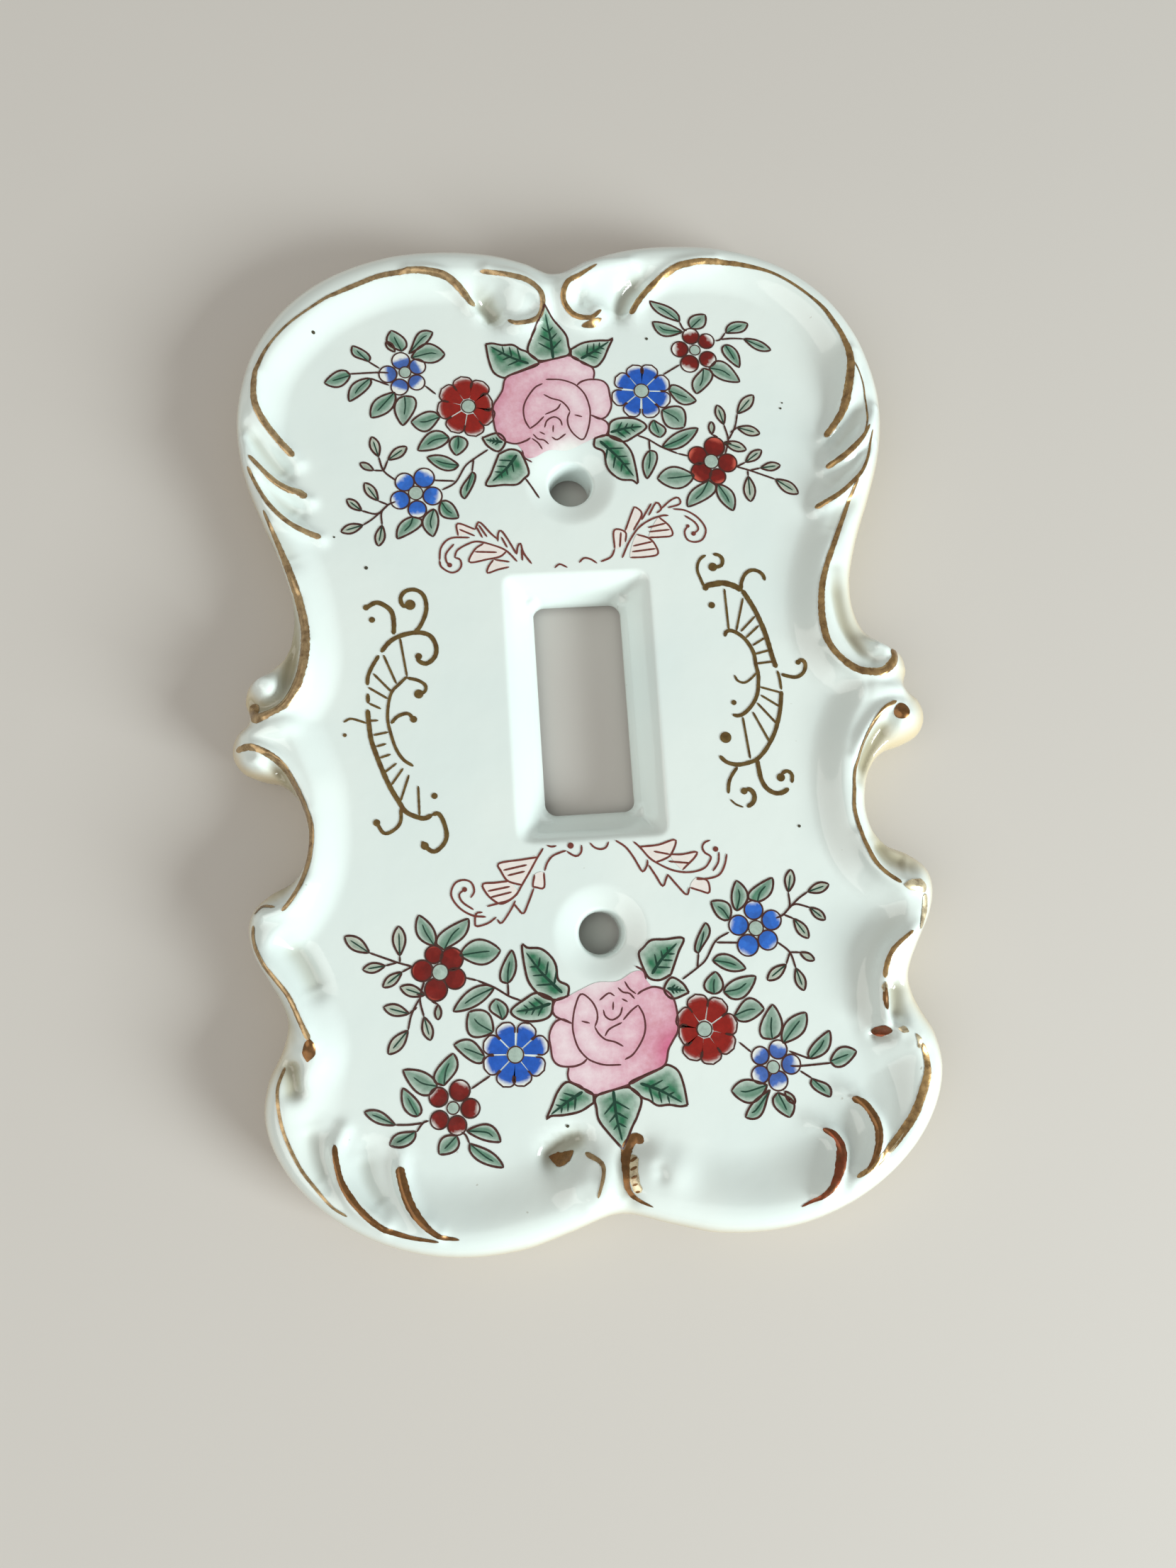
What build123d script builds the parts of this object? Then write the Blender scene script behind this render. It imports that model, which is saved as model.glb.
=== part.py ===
"""Porcelain wall plate cover for one toggle switch, in a rococo scroll outline.

One fired piece: a dished field inside a raised scroll rim, a funnelled toggle opening,
two dimpled screw holes, and a hollow back with a foot rim and three collars.

Frame: the wall is the plane Z=0 and the front faces +Z. The origin is midway between
the two screw holes, +Y is the toggle's "on" direction, towards the upper screw hole.
"""
from build123d import *
import math
import os

# ---- driving dimensions, mm -------------------------------------------------------
SCREW_SPACING = 60.3        # device-strap spacing, 2-3/8 in
SCREW_HOLE_RADIUS = 2.7
DIMPLE_RADIUS = 5.6         # mouth of the smooth dimple round each screw hole
DIMPLE_DEPTH = 1.7
SCREW_COLLAR_RADIUS = 5.4   # boss behind each screw hole
SCREW_COLLAR_FLOOR = 1.2    # height of the boss's end above the wall

TOGGLE_WIDTH = 12.0         # through opening
TOGGLE_HEIGHT = 29.0
TOGGLE_CORNER = 1.6
FUNNEL_WIDTH = 19.4         # funnel mouth on the field
FUNNEL_HEIGHT = 35.6
FUNNEL_CORNER = 3.0
FUNNEL_FLOOR = 2.6          # height where the funnel meets the through opening
TOGGLE_COLLAR_WALL = 3.2    # boss behind the toggle opening
TOGGLE_COLLAR_FLOOR = 0.9

CREST_HEIGHT = 9.4          # top of the raised rim
FIELD_HEIGHT = 7.4          # flat middle of the dished front
WIDEST_HEIGHT = 3.6         # where the side wall bulges furthest out
SHOULDER_HEIGHT = 7.8
FOOT_INSET = 1.3            # the side wall tucks in under the bulge
CREST_FLAT = 0.7            # half-width of the rounded top of the rim
SHOULDER_SHARE = 0.36       # how far the shoulder has come in from the outline to the crest
DISH_LIP_INSET = 1.9        # the dish leaves the rim in a rounded lip
DISH_LIP_DROP = 0.6
FIELD_INSET = 5.6           # the field starts this far inside the crest line

BACK_DEPTH = 3.2            # hollow in the back
FOOT_BEHIND_CREST = 0.4     # the foot rim reaches this far inside the crest line
BACK_SLOPE = 2.6            # the hollow narrows by this much towards its ceiling

RIDGE_RADIUS = 0.9          # section of the relief ridges on the rim
RIDGE_HEIGHT = 8.6          # height of a ridge's centre line

# Right half of the outline at its widest, from the top notch round to the bottom notch.
OUTLINE_RIGHT = [
    (0, 61.4), (4, 63.2), (9, 64.7), (16, 65.3), (24, 64.5), (32, 61.6), (38, 57),
    (42, 51), (44, 44.5), (44.4, 39), (43.5, 33), (41.5, 27), (39.3, 21.5),
    (37.7, 16), (37.5, 12), (38.6, 8.3), (41, 6.4), (43.3, 5), (44.1, 2.5), (43.6, 0),
    (45.3, -1.9), (45.9, -4.3), (44.8, -6.6), (42.4, -7.9), (39.6, -8.8),
    (37.5, -11), (36.4, -14.5), (36.5, -18), (38.2, -20.9), (41.3, -22.5),
    (43.6, -24.5), (44.2, -27.2), (43.2, -30.7), (41, -34.6), (39.6, -38.3),
    (40.3, -41.6), (42.2, -45.6), (42.7, -50), (41.2, -54.7), (38, -59.2),
    (33, -63.4), (27, -66.4), (20, -68), (12, -67.8), (6, -66.2), (0, -64.6),
]
# Right half of the crest line, the top of the raised rim, one point for each of the above.
CREST_RIGHT = [
    (0, 57.4), (4, 58.5), (9.5, 59.8), (16, 60.6), (23, 60.2), (30, 57.8), (35, 53.8),
    (38.3, 48.8), (39.9, 43.5), (40, 38.5), (39, 33), (37, 27.5), (35.2, 22),
    (33.7, 16.5), (33, 12), (33.1, 8.3), (33.9, 5.5), (35.6, 3.6), (37.3, 2), (38.4, 0),
    (38.9, -1.9), (38.6, -3.7), (37.7, -5.3), (36.6, -6.9), (35.6, -8.7),
    (34.5, -11.4), (33.9, -14.7), (34.2, -18.3), (35.4, -21.5), (37, -23.9),
    (38.4, -25.9), (38.9, -28.2), (38.3, -31.4), (36.8, -35), (35.8, -38.6),
    (36.3, -42), (37.6, -45.9), (38.1, -50), (36.9, -54), (34.3, -57.6),
    (30.2, -60.9), (25.2, -63), (19, -64), (12.5, -63.8), (6.5, -62.4), (0, -60.8),
]
# Knobs where the outline's scrolls end in a curl: centre x, centre y, radius.
CURL_KNOBS = [(40.9, 3.6, 3.0), (42.0, -4.6, 3.3), (40.9, -26.4, 3.0)]
KNOB_HEIGHT = 6.2
OVERCUT = 0.01              # a cut passes the face that it opens by this much
# Centre lines of the relief ridges, for the right half.
RIDGES_RIGHT = [
    [(10.5, 55.2), (13.2, 58.6), (18, 60.6)],
    [(39.6, 40), (38.4, 37), (35.6, 34.8)],
    [(39.6, 34.5), (37.6, 31.6), (34.9, 29.4)],
    [(38.2, 29), (35.8, 26), (33, 24)],
    [(38.2, -33), (35.6, -36.5), (34.8, -43)],
    [(33, -52.5), (34.2, -55.5), (32.6, -59.3)],
    [(28.2, -55.8), (29.2, -58.8), (27.2, -62)],
]


# ---- outlines ---------------------------------------------------------------------
def closed_loop(right_half):
    """Mirror a right half that starts and ends on the middle line into a closed loop."""
    left_half = [(-x, y) for x, y in reversed(right_half[1:-1])]
    return right_half + left_half


def moved_inward(loop, distance, smoothing=0):
    """Move each point of a clockwise loop inward, square to its neighbours."""
    count = len(loop)
    moved = []
    for i, (x, y) in enumerate(loop):
        ahead = loop[(i + 1) % count]
        behind = loop[i - 1]
        run_x = ahead[0] - behind[0]
        run_y = ahead[1] - behind[1]
        length = math.hypot(run_x, run_y)
        moved.append((x + distance * run_y / length, y - distance * run_x / length))
    for _ in range(smoothing):
        moved = [
            (
                (moved[i - 1][0] + 2 * moved[i][0] + moved[(i + 1) % count][0]) / 4,
                (moved[i - 1][1] + 2 * moved[i][1] + moved[(i + 1) % count][1]) / 4,
            )
            for i in range(count)
        ]
    return moved


def between(loop_a, loop_b, share):
    """Blend two loops point by point: share 0 gives loop_a, share 1 gives loop_b."""
    return [
        (a[0] + (b[0] - a[0]) * share, a[1] + (b[1] - a[1]) * share)
        for a, b in zip(loop_a, loop_b)
    ]


def loop_face(loop, height):
    """A flat face at the given height, inside a smooth chain of Bezier curves.

    The chain is made outside a line builder, which would merge its curves into one.
    """
    points = [Vector(x, y, height) for x, y in loop]
    after = points[1:] + points[:1]
    before = points[-1:] + points[:-1]
    tangents = [(b - a).normalized() for a, b in zip(before, after)]
    chain = []
    for start, end, out, into in zip(points, after, tangents, tangents[1:] + tangents[:1]):
        handle = (end - start).length / 3
        chain.append(Edge.make_bezier(start, start + out * handle, end - into * handle, end))
    return Face(Wire(chain))


def loft_through(levels):
    """A solid through (loop, height) levels, made apart so that a block can add or cut it."""
    with BuildPart() as body:
        loft([loop_face(loop, height) for loop, height in levels])
    return body.part


outline = closed_loop(OUTLINE_RIGHT)
crest = closed_loop(CREST_RIGHT)

# ---- the porcelain body -----------------------------------------------------------
side_wall = loft_through([
    (moved_inward(outline, FOOT_INSET), 0),
    (outline, WIDEST_HEIGHT),
    (between(outline, crest, SHOULDER_SHARE), SHOULDER_HEIGHT),
    (moved_inward(crest, -CREST_FLAT), CREST_HEIGHT),
])
dish = loft_through([
    (moved_inward(crest, FIELD_INSET, smoothing=3), FIELD_HEIGHT),
    (moved_inward(crest, DISH_LIP_INSET, smoothing=1), CREST_HEIGHT - DISH_LIP_DROP),
    (moved_inward(crest, CREST_FLAT), CREST_HEIGHT + OVERCUT),
])
back_hollow = loft_through([
    (moved_inward(crest, FOOT_BEHIND_CREST, smoothing=2), -OVERCUT),
    (moved_inward(crest, FOOT_BEHIND_CREST + BACK_SLOPE, smoothing=3), BACK_DEPTH),
])


def collar_blocks():
    """What the hollow leaves standing behind the toggle opening and the screw holes."""
    with BuildPart() as blocks:
        with BuildSketch(Plane.XY.offset(TOGGLE_COLLAR_FLOOR)):
            RectangleRounded(
                TOGGLE_WIDTH + 2 * TOGGLE_COLLAR_WALL,
                TOGGLE_HEIGHT + 2 * TOGGLE_COLLAR_WALL,
                FUNNEL_CORNER,
            )
        extrude(amount=BACK_DEPTH)
        with BuildSketch(Plane.XY.offset(SCREW_COLLAR_FLOOR)):
            with Locations((0, SCREW_SPACING / 2), (0, -SCREW_SPACING / 2)):
                Circle(SCREW_COLLAR_RADIUS)
        extrude(amount=BACK_DEPTH)
    return blocks.part


def toggle_funnel():
    """The sloping recess round the toggle, from the field down to the through opening."""
    with BuildPart() as funnel:
        with BuildSketch(Plane.XY.offset(FUNNEL_FLOOR)):
            RectangleRounded(TOGGLE_WIDTH, TOGGLE_HEIGHT, TOGGLE_CORNER)
        with BuildSketch(Plane.XY.offset(FIELD_HEIGHT + OVERCUT)):
            RectangleRounded(FUNNEL_WIDTH, FUNNEL_HEIGHT, FUNNEL_CORNER)
        loft()
    return funnel.part


def screw_dimple(centre_y):
    """A shallow spherical dimple round one screw hole."""
    sphere_radius = (DIMPLE_RADIUS ** 2 + DIMPLE_DEPTH ** 2) / (2 * DIMPLE_DEPTH)
    with BuildPart() as dimple:
        with Locations((0, centre_y, FIELD_HEIGHT - DIMPLE_DEPTH + sphere_radius)):
            Sphere(sphere_radius)
    return dimple.part


def curl_knobs():
    """Rounded knobs where the side scrolls curl, on both sides."""
    with BuildPart() as knobs:
        for x, y, radius in CURL_KNOBS:
            with Locations((x, y, KNOB_HEIGHT), (-x, y, KNOB_HEIGHT)):
                Sphere(radius)
    return knobs.part


def ridge(points):
    """One raised scroll line: a round section swept along a smooth level curve."""
    with BuildPart() as rib:
        with BuildLine(Plane.XY.offset(RIDGE_HEIGHT)) as path:
            Spline(*points)
        with BuildSketch(Plane(origin=path.line @ 0, z_dir=path.line % 0)):
            Circle(RIDGE_RADIUS)
        sweep()
    return rib.part


with BuildPart() as cover_plate:
    add(side_wall)
    add(dish, mode=Mode.SUBTRACT)
    add(back_hollow, mode=Mode.SUBTRACT)
    add(collar_blocks())
    add(toggle_funnel(), mode=Mode.SUBTRACT)
    with BuildSketch():
        RectangleRounded(TOGGLE_WIDTH, TOGGLE_HEIGHT, TOGGLE_CORNER)
    extrude(amount=CREST_HEIGHT, mode=Mode.SUBTRACT)
    for hole_y in (SCREW_SPACING / 2, -SCREW_SPACING / 2):
        add(screw_dimple(hole_y), mode=Mode.SUBTRACT)
        with Locations((0, hole_y, CREST_HEIGHT)):
            Hole(SCREW_HOLE_RADIUS, depth=CREST_HEIGHT)
    add(curl_knobs())
    for points in RIDGES_RIGHT:
        add(ridge(points))
        add(ridge([(-x, y) for x, y in points]))

cover_plate.part.label = "cover_plate"
os.makedirs("parts", exist_ok=True)
export_step(cover_plate.part, "parts/cover_plate.step")
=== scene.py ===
"""Looks for the porcelain toggle plate cover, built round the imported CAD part.

Lengths are in millimetres, in the CAD frame, until a mesh is made. The body takes its
outline, foot and back from the CAD node and has a sculpted front; the flower sprays,
linework and gilding are thin painted layers that follow that front.
"""
import math
import random

import bmesh
import bpy
import numpy as np
from mathutils import Euler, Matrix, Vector
from mathutils.geometry import delaunay_2d_cdt


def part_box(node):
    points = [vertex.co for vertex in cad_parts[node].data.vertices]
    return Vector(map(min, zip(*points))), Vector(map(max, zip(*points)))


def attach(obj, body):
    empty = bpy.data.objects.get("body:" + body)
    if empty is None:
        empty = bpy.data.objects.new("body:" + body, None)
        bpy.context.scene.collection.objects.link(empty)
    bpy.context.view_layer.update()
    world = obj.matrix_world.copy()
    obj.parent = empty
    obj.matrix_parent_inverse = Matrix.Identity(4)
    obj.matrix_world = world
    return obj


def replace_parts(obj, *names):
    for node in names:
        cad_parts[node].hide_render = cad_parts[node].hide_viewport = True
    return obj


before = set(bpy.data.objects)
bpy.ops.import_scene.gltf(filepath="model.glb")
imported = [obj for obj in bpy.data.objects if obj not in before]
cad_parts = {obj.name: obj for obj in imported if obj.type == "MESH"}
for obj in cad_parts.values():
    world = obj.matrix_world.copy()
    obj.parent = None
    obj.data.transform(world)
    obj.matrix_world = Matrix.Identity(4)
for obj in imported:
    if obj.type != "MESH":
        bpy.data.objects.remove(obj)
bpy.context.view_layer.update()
MM = 0.001
PLATE = "cover_plate"
rng = random.Random(7)

# ---- levels and widths of the sculpted front --------------------------------------
PLATE_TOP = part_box(PLATE)[1].z / MM
BULGE_Z = 3.6                    # the side wall is widest here, where the front takes over
CREST_Z = PLATE_TOP - 0.95       # the plain rim; the folds stand on it
SOFT_Z = PLATE_TOP - 0.6         # above this the folds flatten, so they stay under PLATE_TOP
SOFT_ROOM = 0.5                  # the most that they rise above SOFT_Z
FIELD_Z = CREST_Z - 1.8
SLOPE_WIDTH = 4.4                # inner slope, from the crest down to the field
SLOPE_POWER = 1.4
LOBE_EXTRA = 2.4                 # added to that slope in the two lower lobes
LOBE_TOP_Y, LOBE_FADE = -44, 8   # where the lobes begin, and how far it takes to reach them
OUTER_POWER, OUTER_ROOT = 2.3, 2.0        # roundness of the band from outline to crest
FOLD_FADE = 1.6                  # the folds die out this near to the outline
SCREW_Y = 30.15
HOLE_RADIUS = 2.7
HOLE_LIP = 0.55                  # rounding of the hole's edge
DIMPLE_RADIUS = 6.2
DIMPLE_DEPTH = 1.5
DIMPLE_POWER = 1.6
OPENING_HALF = (6.0, 14.5)
FUNNEL_FLOOR = 2.6
FUNNEL_LEFT, FUNNEL_RIGHT = 4.0, 3.6      # width of the sloping sides
FUNNEL_TOP, FUNNEL_BOTTOM = 2.9, 3.9
FUNNEL_CORNER = 5                # the higher, the squarer the funnel's corners
FUNNEL_POWER = 1.2

# ---- how closely the front is sculpted ---------------------------------------------
FINE_STEP, COARSE_STEP = 0.29, 0.9        # grid over the detailed parts, and over the rest
DETAIL_RIM = 10.5                # the rim counts as detailed this far in from the outline
DETAIL_HALF = (11.5, 20.5)       # and so does this half size round the toggle opening
DETAIL_DIMPLE = DIMPLE_RADIUS + 1.5
RIM_STEP = 0.45                  # spacing of points along the inner rim rings
CLOSE_RINGS = (0.06, 0.16)       # these follow every point of the outline
EVEN_RINGS = (0.3, 0.52, 0.8)    # and these are evenly spaced
RIM_MARGIN = 1.0                 # no grid points nearer than this to the outline,
HOLE_MARGIN = 1.1                # to a screw hole
OPENING_MARGIN = 0.2             # or to the toggle opening
# rings of points round each screw hole, at these distances from its edge
HOLE_RINGS = (0.05, 0.14, 0.28, 0.42, 0.56, 0.8, 1.02)

# ---- shading of the body -----------------------------------------------------------
SHARP_ANGLE = 42                 # degrees between faces from which their edge is sharp
LEVEL = 0.9999                   # a normal's z from which a face counts as level
FOOT_REACH = 2.2                 # how far inside the outline the foot still takes the cream tint and painted warm shade
CREAM_SHADE_BELOW, CREAM_SHADE_FADE = 0.2, 3.2        # the wall takes the cream tint and painted warm shade below the crest
POOL_SHADE_DEPTH = 1.5                 # depth of a valley in which the painted shade, where glaze pools, is darkest

# Crest line of the rim, top to bottom, for each half.
CREST_RIGHT = [
    (1.2, 58.3), (4, 59.6), (8, 60.5), (12, 61.2), (17, 61.4), (22, 61.3), (26.5, 60.4),
    (30.5, 58.6), (34, 55.9), (36.8, 52.6), (38.7, 49), (39.8, 45), (40.4, 41), (40.3, 37),
    (39.4, 33), (38, 29), (36.2, 24.5), (34.3, 20), (32.8, 16), (31.9, 12), (31.7, 8.5),
    (32.2, 5.5), (33.6, 3), (35.4, 1.4), (36.6, -0.4), (36.2, -2.4), (34.8, -4.8), (33.5, -8),
    (32.8, -11.5), (32.6, -15), (33, -19), (34.2, -22.5), (36.2, -25), (38.3, -27), (39.4, -29),
    (38.6, -31.6), (36.6, -34), (35, -36.8), (34.3, -40), (34.6, -43.2), (36.5, -45.6),
    (38.3, -47.8), (38.4, -51), (37.2, -54.5), (34.8, -57.8), (31.5, -60.4), (27, -62.6),
    (21.5, -64), (15.5, -64.2), (9.5, -63.3), (4.5, -62), (0.9, -60.6),
]
CREST_LEFT = [
    (-1.6, 57.8), (-4.5, 58.9), (-8.5, 60.1), (-13, 60.6), (-18, 60.7), (-23, 60.1), (-28, 58.3),
    (-32, 56), (-35.5, 53), (-38.5, 49.5), (-40.3, 46), (-41.3, 42), (-41.8, 38), (-41.6, 34),
    (-40.8, 30), (-39.3, 25.8), (-37.9, 21.5), (-36.6, 17.5), (-35.7, 13.5), (-35.2, 9.5),
    (-35.2, 6.5), (-35.9, 3.8), (-37, 2), (-38, 0), (-38, -1.8), (-37.2, -3.9), (-36.2, -6.5),
    (-35.2, -9.5), (-34.9, -12.5), (-34.9, -16), (-35.3, -19.3), (-36.3, -22.3), (-38, -25),
    (-40, -27.2), (-41.2, -29.2), (-40.3, -32), (-38.7, -34.8), (-37.2, -37.6), (-36, -40.5),
    (-36, -43), (-37.5, -45.2), (-39.2, -47.6), (-39.4, -50.8), (-38.3, -54.2), (-36, -57.4),
    (-33, -59.9), (-28.5, -62.3), (-23, -63.9), (-17, -64.3), (-11, -63.5), (-6, -62.3), (-2, -61),
]
# Relief on the rim: (height, width, path). A negative height is a valley.
FOLDS = [
    # upper right: end of the long scroll and its flutes
    (0.9, 1.0, [(22, 61.2), (16, 60), (13.3, 58.2), (11.3, 56.2), (10, 54.2)]),
    (1.0, 1.0, [(40, 47), (39.6, 43.5), (38.8, 40.5), (37.6, 38), (36.4, 36.2), (35.2, 34.9)]),
    (1.1, 0.9, [(42.4, 38.6), (41.1, 35.6), (39.6, 33.6), (37.4, 31.8), (34.7, 30.3)]),
    (1.0, 0.9, [(42, 33.6), (40.2, 30.4), (38.3, 28), (36.2, 26.2), (32.8, 24.6)]),
    (-0.6, 1.1, [(41, 40), (39, 36.2), (36.6, 33.6)]),
    (-0.5, 1.1, [(41, 33.6), (38.4, 30.4), (35.4, 28.2)]),
    (-0.6, 1.3, [(38.6, 26.4), (36, 23.6), (34.6, 21)]),
    # upper left: the same
    (0.9, 1.0, [(-20, 60.6), (-16, 59.8), (-13.7, 58.2), (-12.4, 56.4), (-11.4, 54.9)]),
    (1.0, 1.0, [(-40.9, 46), (-41, 43), (-40.2, 39.8), (-38.6, 37.2), (-37, 35.2), (-36, 34)]),
    (1.1, 0.9, [(-42.8, 37), (-42, 34.4), (-40.4, 32.4), (-38.8, 31), (-36.8, 29.8),
                (-34.6, 28.6)]),
    (1.0, 0.9, [(-42.8, 33.6), (-41, 30.2), (-39.5, 27.5), (-37.4, 25.4), (-33.4, 23.4)]),
    (-0.9, 1.1, [(-42.2, 38.6), (-40, 35), (-37.6, 32.4)]),
    (-0.8, 1.1, [(-41.8, 32.2), (-39, 28.9), (-36.2, 27)]),
    (-0.6, 1.3, [(-40.2, 25.6), (-38.2, 22.6), (-37, 20)]),
    # volutes at the top
    (1.15, 1.1, [(10, 61), (6, 60.4), (3.2, 59.2), (1.4, 57.8), (0.6, 56), (1.2, 54.5), (2.5, 53.6),
                 (4.3, 53.3), (5.8, 54.4)]),
    (0.9, 1.5, [(3.8, 55.6), (4.6, 55.2)]),
    (-0.9, 0.9, [(3, 57.4), (3.3, 56)]),
    (-1.1, 1.3, [(12, 59.6), (9.6, 57.6), (8.3, 54.4)]),
    (1.15, 1.1, [(-9.5, 60.2), (-6, 58.9), (-4.3, 58), (-2.8, 56.6), (-2.2, 55.3), (-2.6, 54),
                 (-4, 53.1), (-5.8, 52.9), (-7.1, 53.6)]),
    (0.9, 2.0, [(-6, 56.8), (-5.2, 56.2)]),
    (-1.5, 1.6, [(-10.8, 57.6), (-9.6, 55.8), (-8.6, 54.4)]),
    # curls at the waist, right then left
    (0.9, 0.8, [(32.2, 5), (33.4, 3.3), (35.6, 1.7), (37.6, 1.2), (39.6, 1.4), (41, 2.6),
                (41.6, 4.2)]),
    (1.6, 1.3, [(40, 4.6), (39.2, 5)]),
    (-1.1, 1.1, [(34.6, 16), (34.6, 12), (35.2, 8.4), (36.8, 5.2), (38.6, 3.4)]),
    (0.8, 1.2, [(36.6, -0.8), (39.4, -1), (42.6, -0.8)]),
    (0.9, 0.8, [(34.4, -9.4), (35.8, -6.8), (37.6, -4.6), (39.6, -3.1), (41.8, -2.8)]),
    (1.4, 1.3, [(41.8, -4.6), (41.2, -4.8)]),
    (-1.4, 1.1, [(35.2, -12.5), (36.7, -9), (38.4, -6.6), (39.8, -5.4)]),
    (0.9, 0.9, [(33.9, -20), (35, -23), (36.4, -25), (38.6, -26.4), (41, -27)]),
    (-1.3, 1.3, [(36.4, -20.4), (37.8, -23), (40.2, -24.2)]),
    (-0.4, 1.4, [(40.4, -29.2), (37.6, -31), (35, -33.8), (33.2, -37), (32.4, -40.5), (32.6, -43)]),
    (0.9, 0.9, [(40.4, -32), (37.4, -33.8), (35.8, -35.4), (35, -37.4), (34.9, -39.5)]),
    (-1.2, 1.3, [(36.6, -39.8), (36.4, -42.4)]),
    (0.8, 0.9, [(34.6, -39.6), (34.8, -42), (34.3, -43.8)]),
    (-1.0, 0.8, [(33.7, -45.1), (34.9, -45.1)]),
    (0.8, 1.1, [(35.6, -44.2), (37.4, -44.8), (38.8, -46.4)]),
    (1.0, 0.8, [(-35.4, 9), (-35.8, 5), (-37.2, 2.2), (-39, 0.6), (-41, -0.1), (-42.6, 0.2)]),
    (-1.8, 1.1, [(-37.2, 15), (-37.2, 10), (-37.6, 6.6), (-38.3, 4), (-39.3, 1.9), (-41, 1.2),
                 (-42.6, 2)]),
    (2.1, 1.5, [(-40.9, 4), (-40.3, 3.5)]),
    (1.0, 1.2, [(-37.5, -1.6), (-40.5, -2), (-43.5, -2.6)]),
    (1.0, 0.8, [(-44.6, -4.3), (-42.4, -4), (-40.2, -5), (-38.4, -7), (-37, -9.6), (-36.2, -12.4)]),
    (-1.7, 1.0, [(-36.9, -14), (-37.7, -10.4), (-39, -7.9), (-40.2, -6.6)]),
    (2.0, 1.6, [(-42.8, -6.6), (-41.8, -6.4)]),
    (0.9, 0.9, [(-36.2, -21.6), (-37.8, -23.8), (-39.6, -24.8), (-42.6, -25.2)]),
    (-1.3, 1.2, [(-37.4, -17), (-38.4, -20.6), (-40.4, -22.6)]),
    (-0.9, 1.3, [(-39, -28.6), (-37, -31.6), (-35.6, -35)]),
    (0.9, 0.9, [(-42.6, -29.6), (-40.2, -32.6), (-38.4, -35.2), (-37.2, -38), (-36.3, -40.8)]),
    (-0.8, 1.2, [(-41.4, -33.4), (-39.6, -36.6), (-38.4, -40)]),
    (-1.5, 1.2, [(-38.7, -44), (-38.5, -46.4)]),
    # lower lobes
    (1.2, 0.95, [(28.6, -51.6), (30.6, -52.8), (32.1, -55.3), (32.1, -57.5), (31, -60),
                 (28.5, -62.2)]),
    (1.1, 0.95, [(24.4, -55.2), (26.6, -56.4), (27.6, -58.6), (26.6, -61.3), (24.4, -63.4)]),
    (-0.2, 1.3, [(35, -49), (35.4, -53), (34.2, -57)]),
    (-0.3, 1.2, [(29, -54.8), (29.9, -57.8), (28.8, -60.6)]),
    (1.2, 0.95, [(-32.8, -51.4), (-33.8, -53.6), (-33.4, -55.8), (-32.6, -58), (-30.8, -60.4),
                 (-28.2, -62.6)]),
    (1.1, 0.95, [(-26.2, -54.4), (-26.2, -56.8), (-25.6, -59.2), (-24.2, -61.8), (-22, -63.9)]),
    (-0.6, 1.3, [(-36.6, -50.5), (-36.2, -53.8), (-34.8, -57.2)]),
    (-0.6, 1.3, [(-30.4, -54.4), (-30, -57.4), (-28.4, -60.6)]),
    # volutes at the bottom
    (-1.6, 1.5, [(-7.8, -56.8), (-6.6, -55.9), (-5, -55.2)]),
    (1.0, 2.3, [(-5.2, -59.8), (-4.4, -59.6)]),
    (0.5, 1.1, [(-4.4, -56.6), (-2.4, -57.4), (-1.7, -59), (-2.2, -60.8), (-3.8, -62.4)]),
    (-0.8, 1.1, [(3, -56.2), (1.7, -56.4), (0.8, -57.6), (0.4, -59), (0.4, -60.6), (1.2, -62)]),
    (1.0, 2.6, [(5.2, -58.4), (6.6, -59)]),
    (-0.35, 0.9, [(4.9, -58.8), (5, -59.6)]),
]


# ---- plane geometry ---------------------------------------------------------------
def smooth_path(points, step=0.5, closed=False):
    """Points at an even step along a Catmull-Rom curve through the given points."""
    knots = np.array(points, float)
    if closed:
        padded = np.vstack([knots[-1:], knots, knots[:2]])
    else:
        padded = np.vstack([2 * knots[0] - knots[1], knots, 2 * knots[-1] - knots[-2]])
    dense = []
    share = np.linspace(0, 1, 24, endpoint=False)[:, None]
    for p0, p1, p2, p3 in zip(padded, padded[1:], padded[2:], padded[3:]):
        bend = 2 * p0 - 5 * p1 + 4 * p2 - p3
        twist = 3 * p1 - p0 - 3 * p2 + p3
        dense.append(0.5 * (2 * p1 + (p2 - p0) * share + bend * share ** 2 + twist * share ** 3))
    dense = np.vstack(dense + [knots[:1] if closed else knots[-1:]])
    lengths = np.hypot(*np.diff(dense, axis=0).T)
    run = np.concatenate([[0], np.cumsum(lengths)])
    count = max(2, int(round(run[-1] / step)) + 1)
    even = np.linspace(0, run[-1], count)
    return np.column_stack([np.interp(even, run, dense[:, k]) for k in (0, 1)])


def path_distance(points, path):
    """Distance from each point to a polyline, and how far along it the nearest place is."""
    nearest = np.full(len(points), 1e9)
    along = np.zeros(len(points))
    spans = np.diff(path, axis=0)
    lengths = np.hypot(*spans.T)
    total = lengths.sum()
    start_run = 0.0
    for start, span, length in zip(path, spans, lengths):
        offset = points - start
        share = np.clip(offset @ span / max(length ** 2, 1e-12), 0, 1)
        gap = np.hypot(offset[:, 0] - share * span[0], offset[:, 1] - share * span[1])
        closer = gap < nearest
        nearest[closer] = gap[closer]
        along[closer] = (start_run + share[closer] * length) / total
        start_run += length
    return nearest, along


def inside_loop(points, loop):
    """Which points lie inside a closed polyline, by counting crossings."""
    inside = np.zeros(len(points), bool)
    x, y = points.T
    for (x0, y0), (x1, y1) in zip(loop, np.roll(loop, -1, axis=0)):
        if y0 == y1:
            continue
        crosses = (y0 > y) != (y1 > y)
        inside ^= crosses & (x < (x1 - x0) * (y - y0) / (y1 - y0) + x0)
    return inside


def smoothstep(value):
    value = np.clip(value, 0, 1)
    return value * value * (3 - 2 * value)


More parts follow.
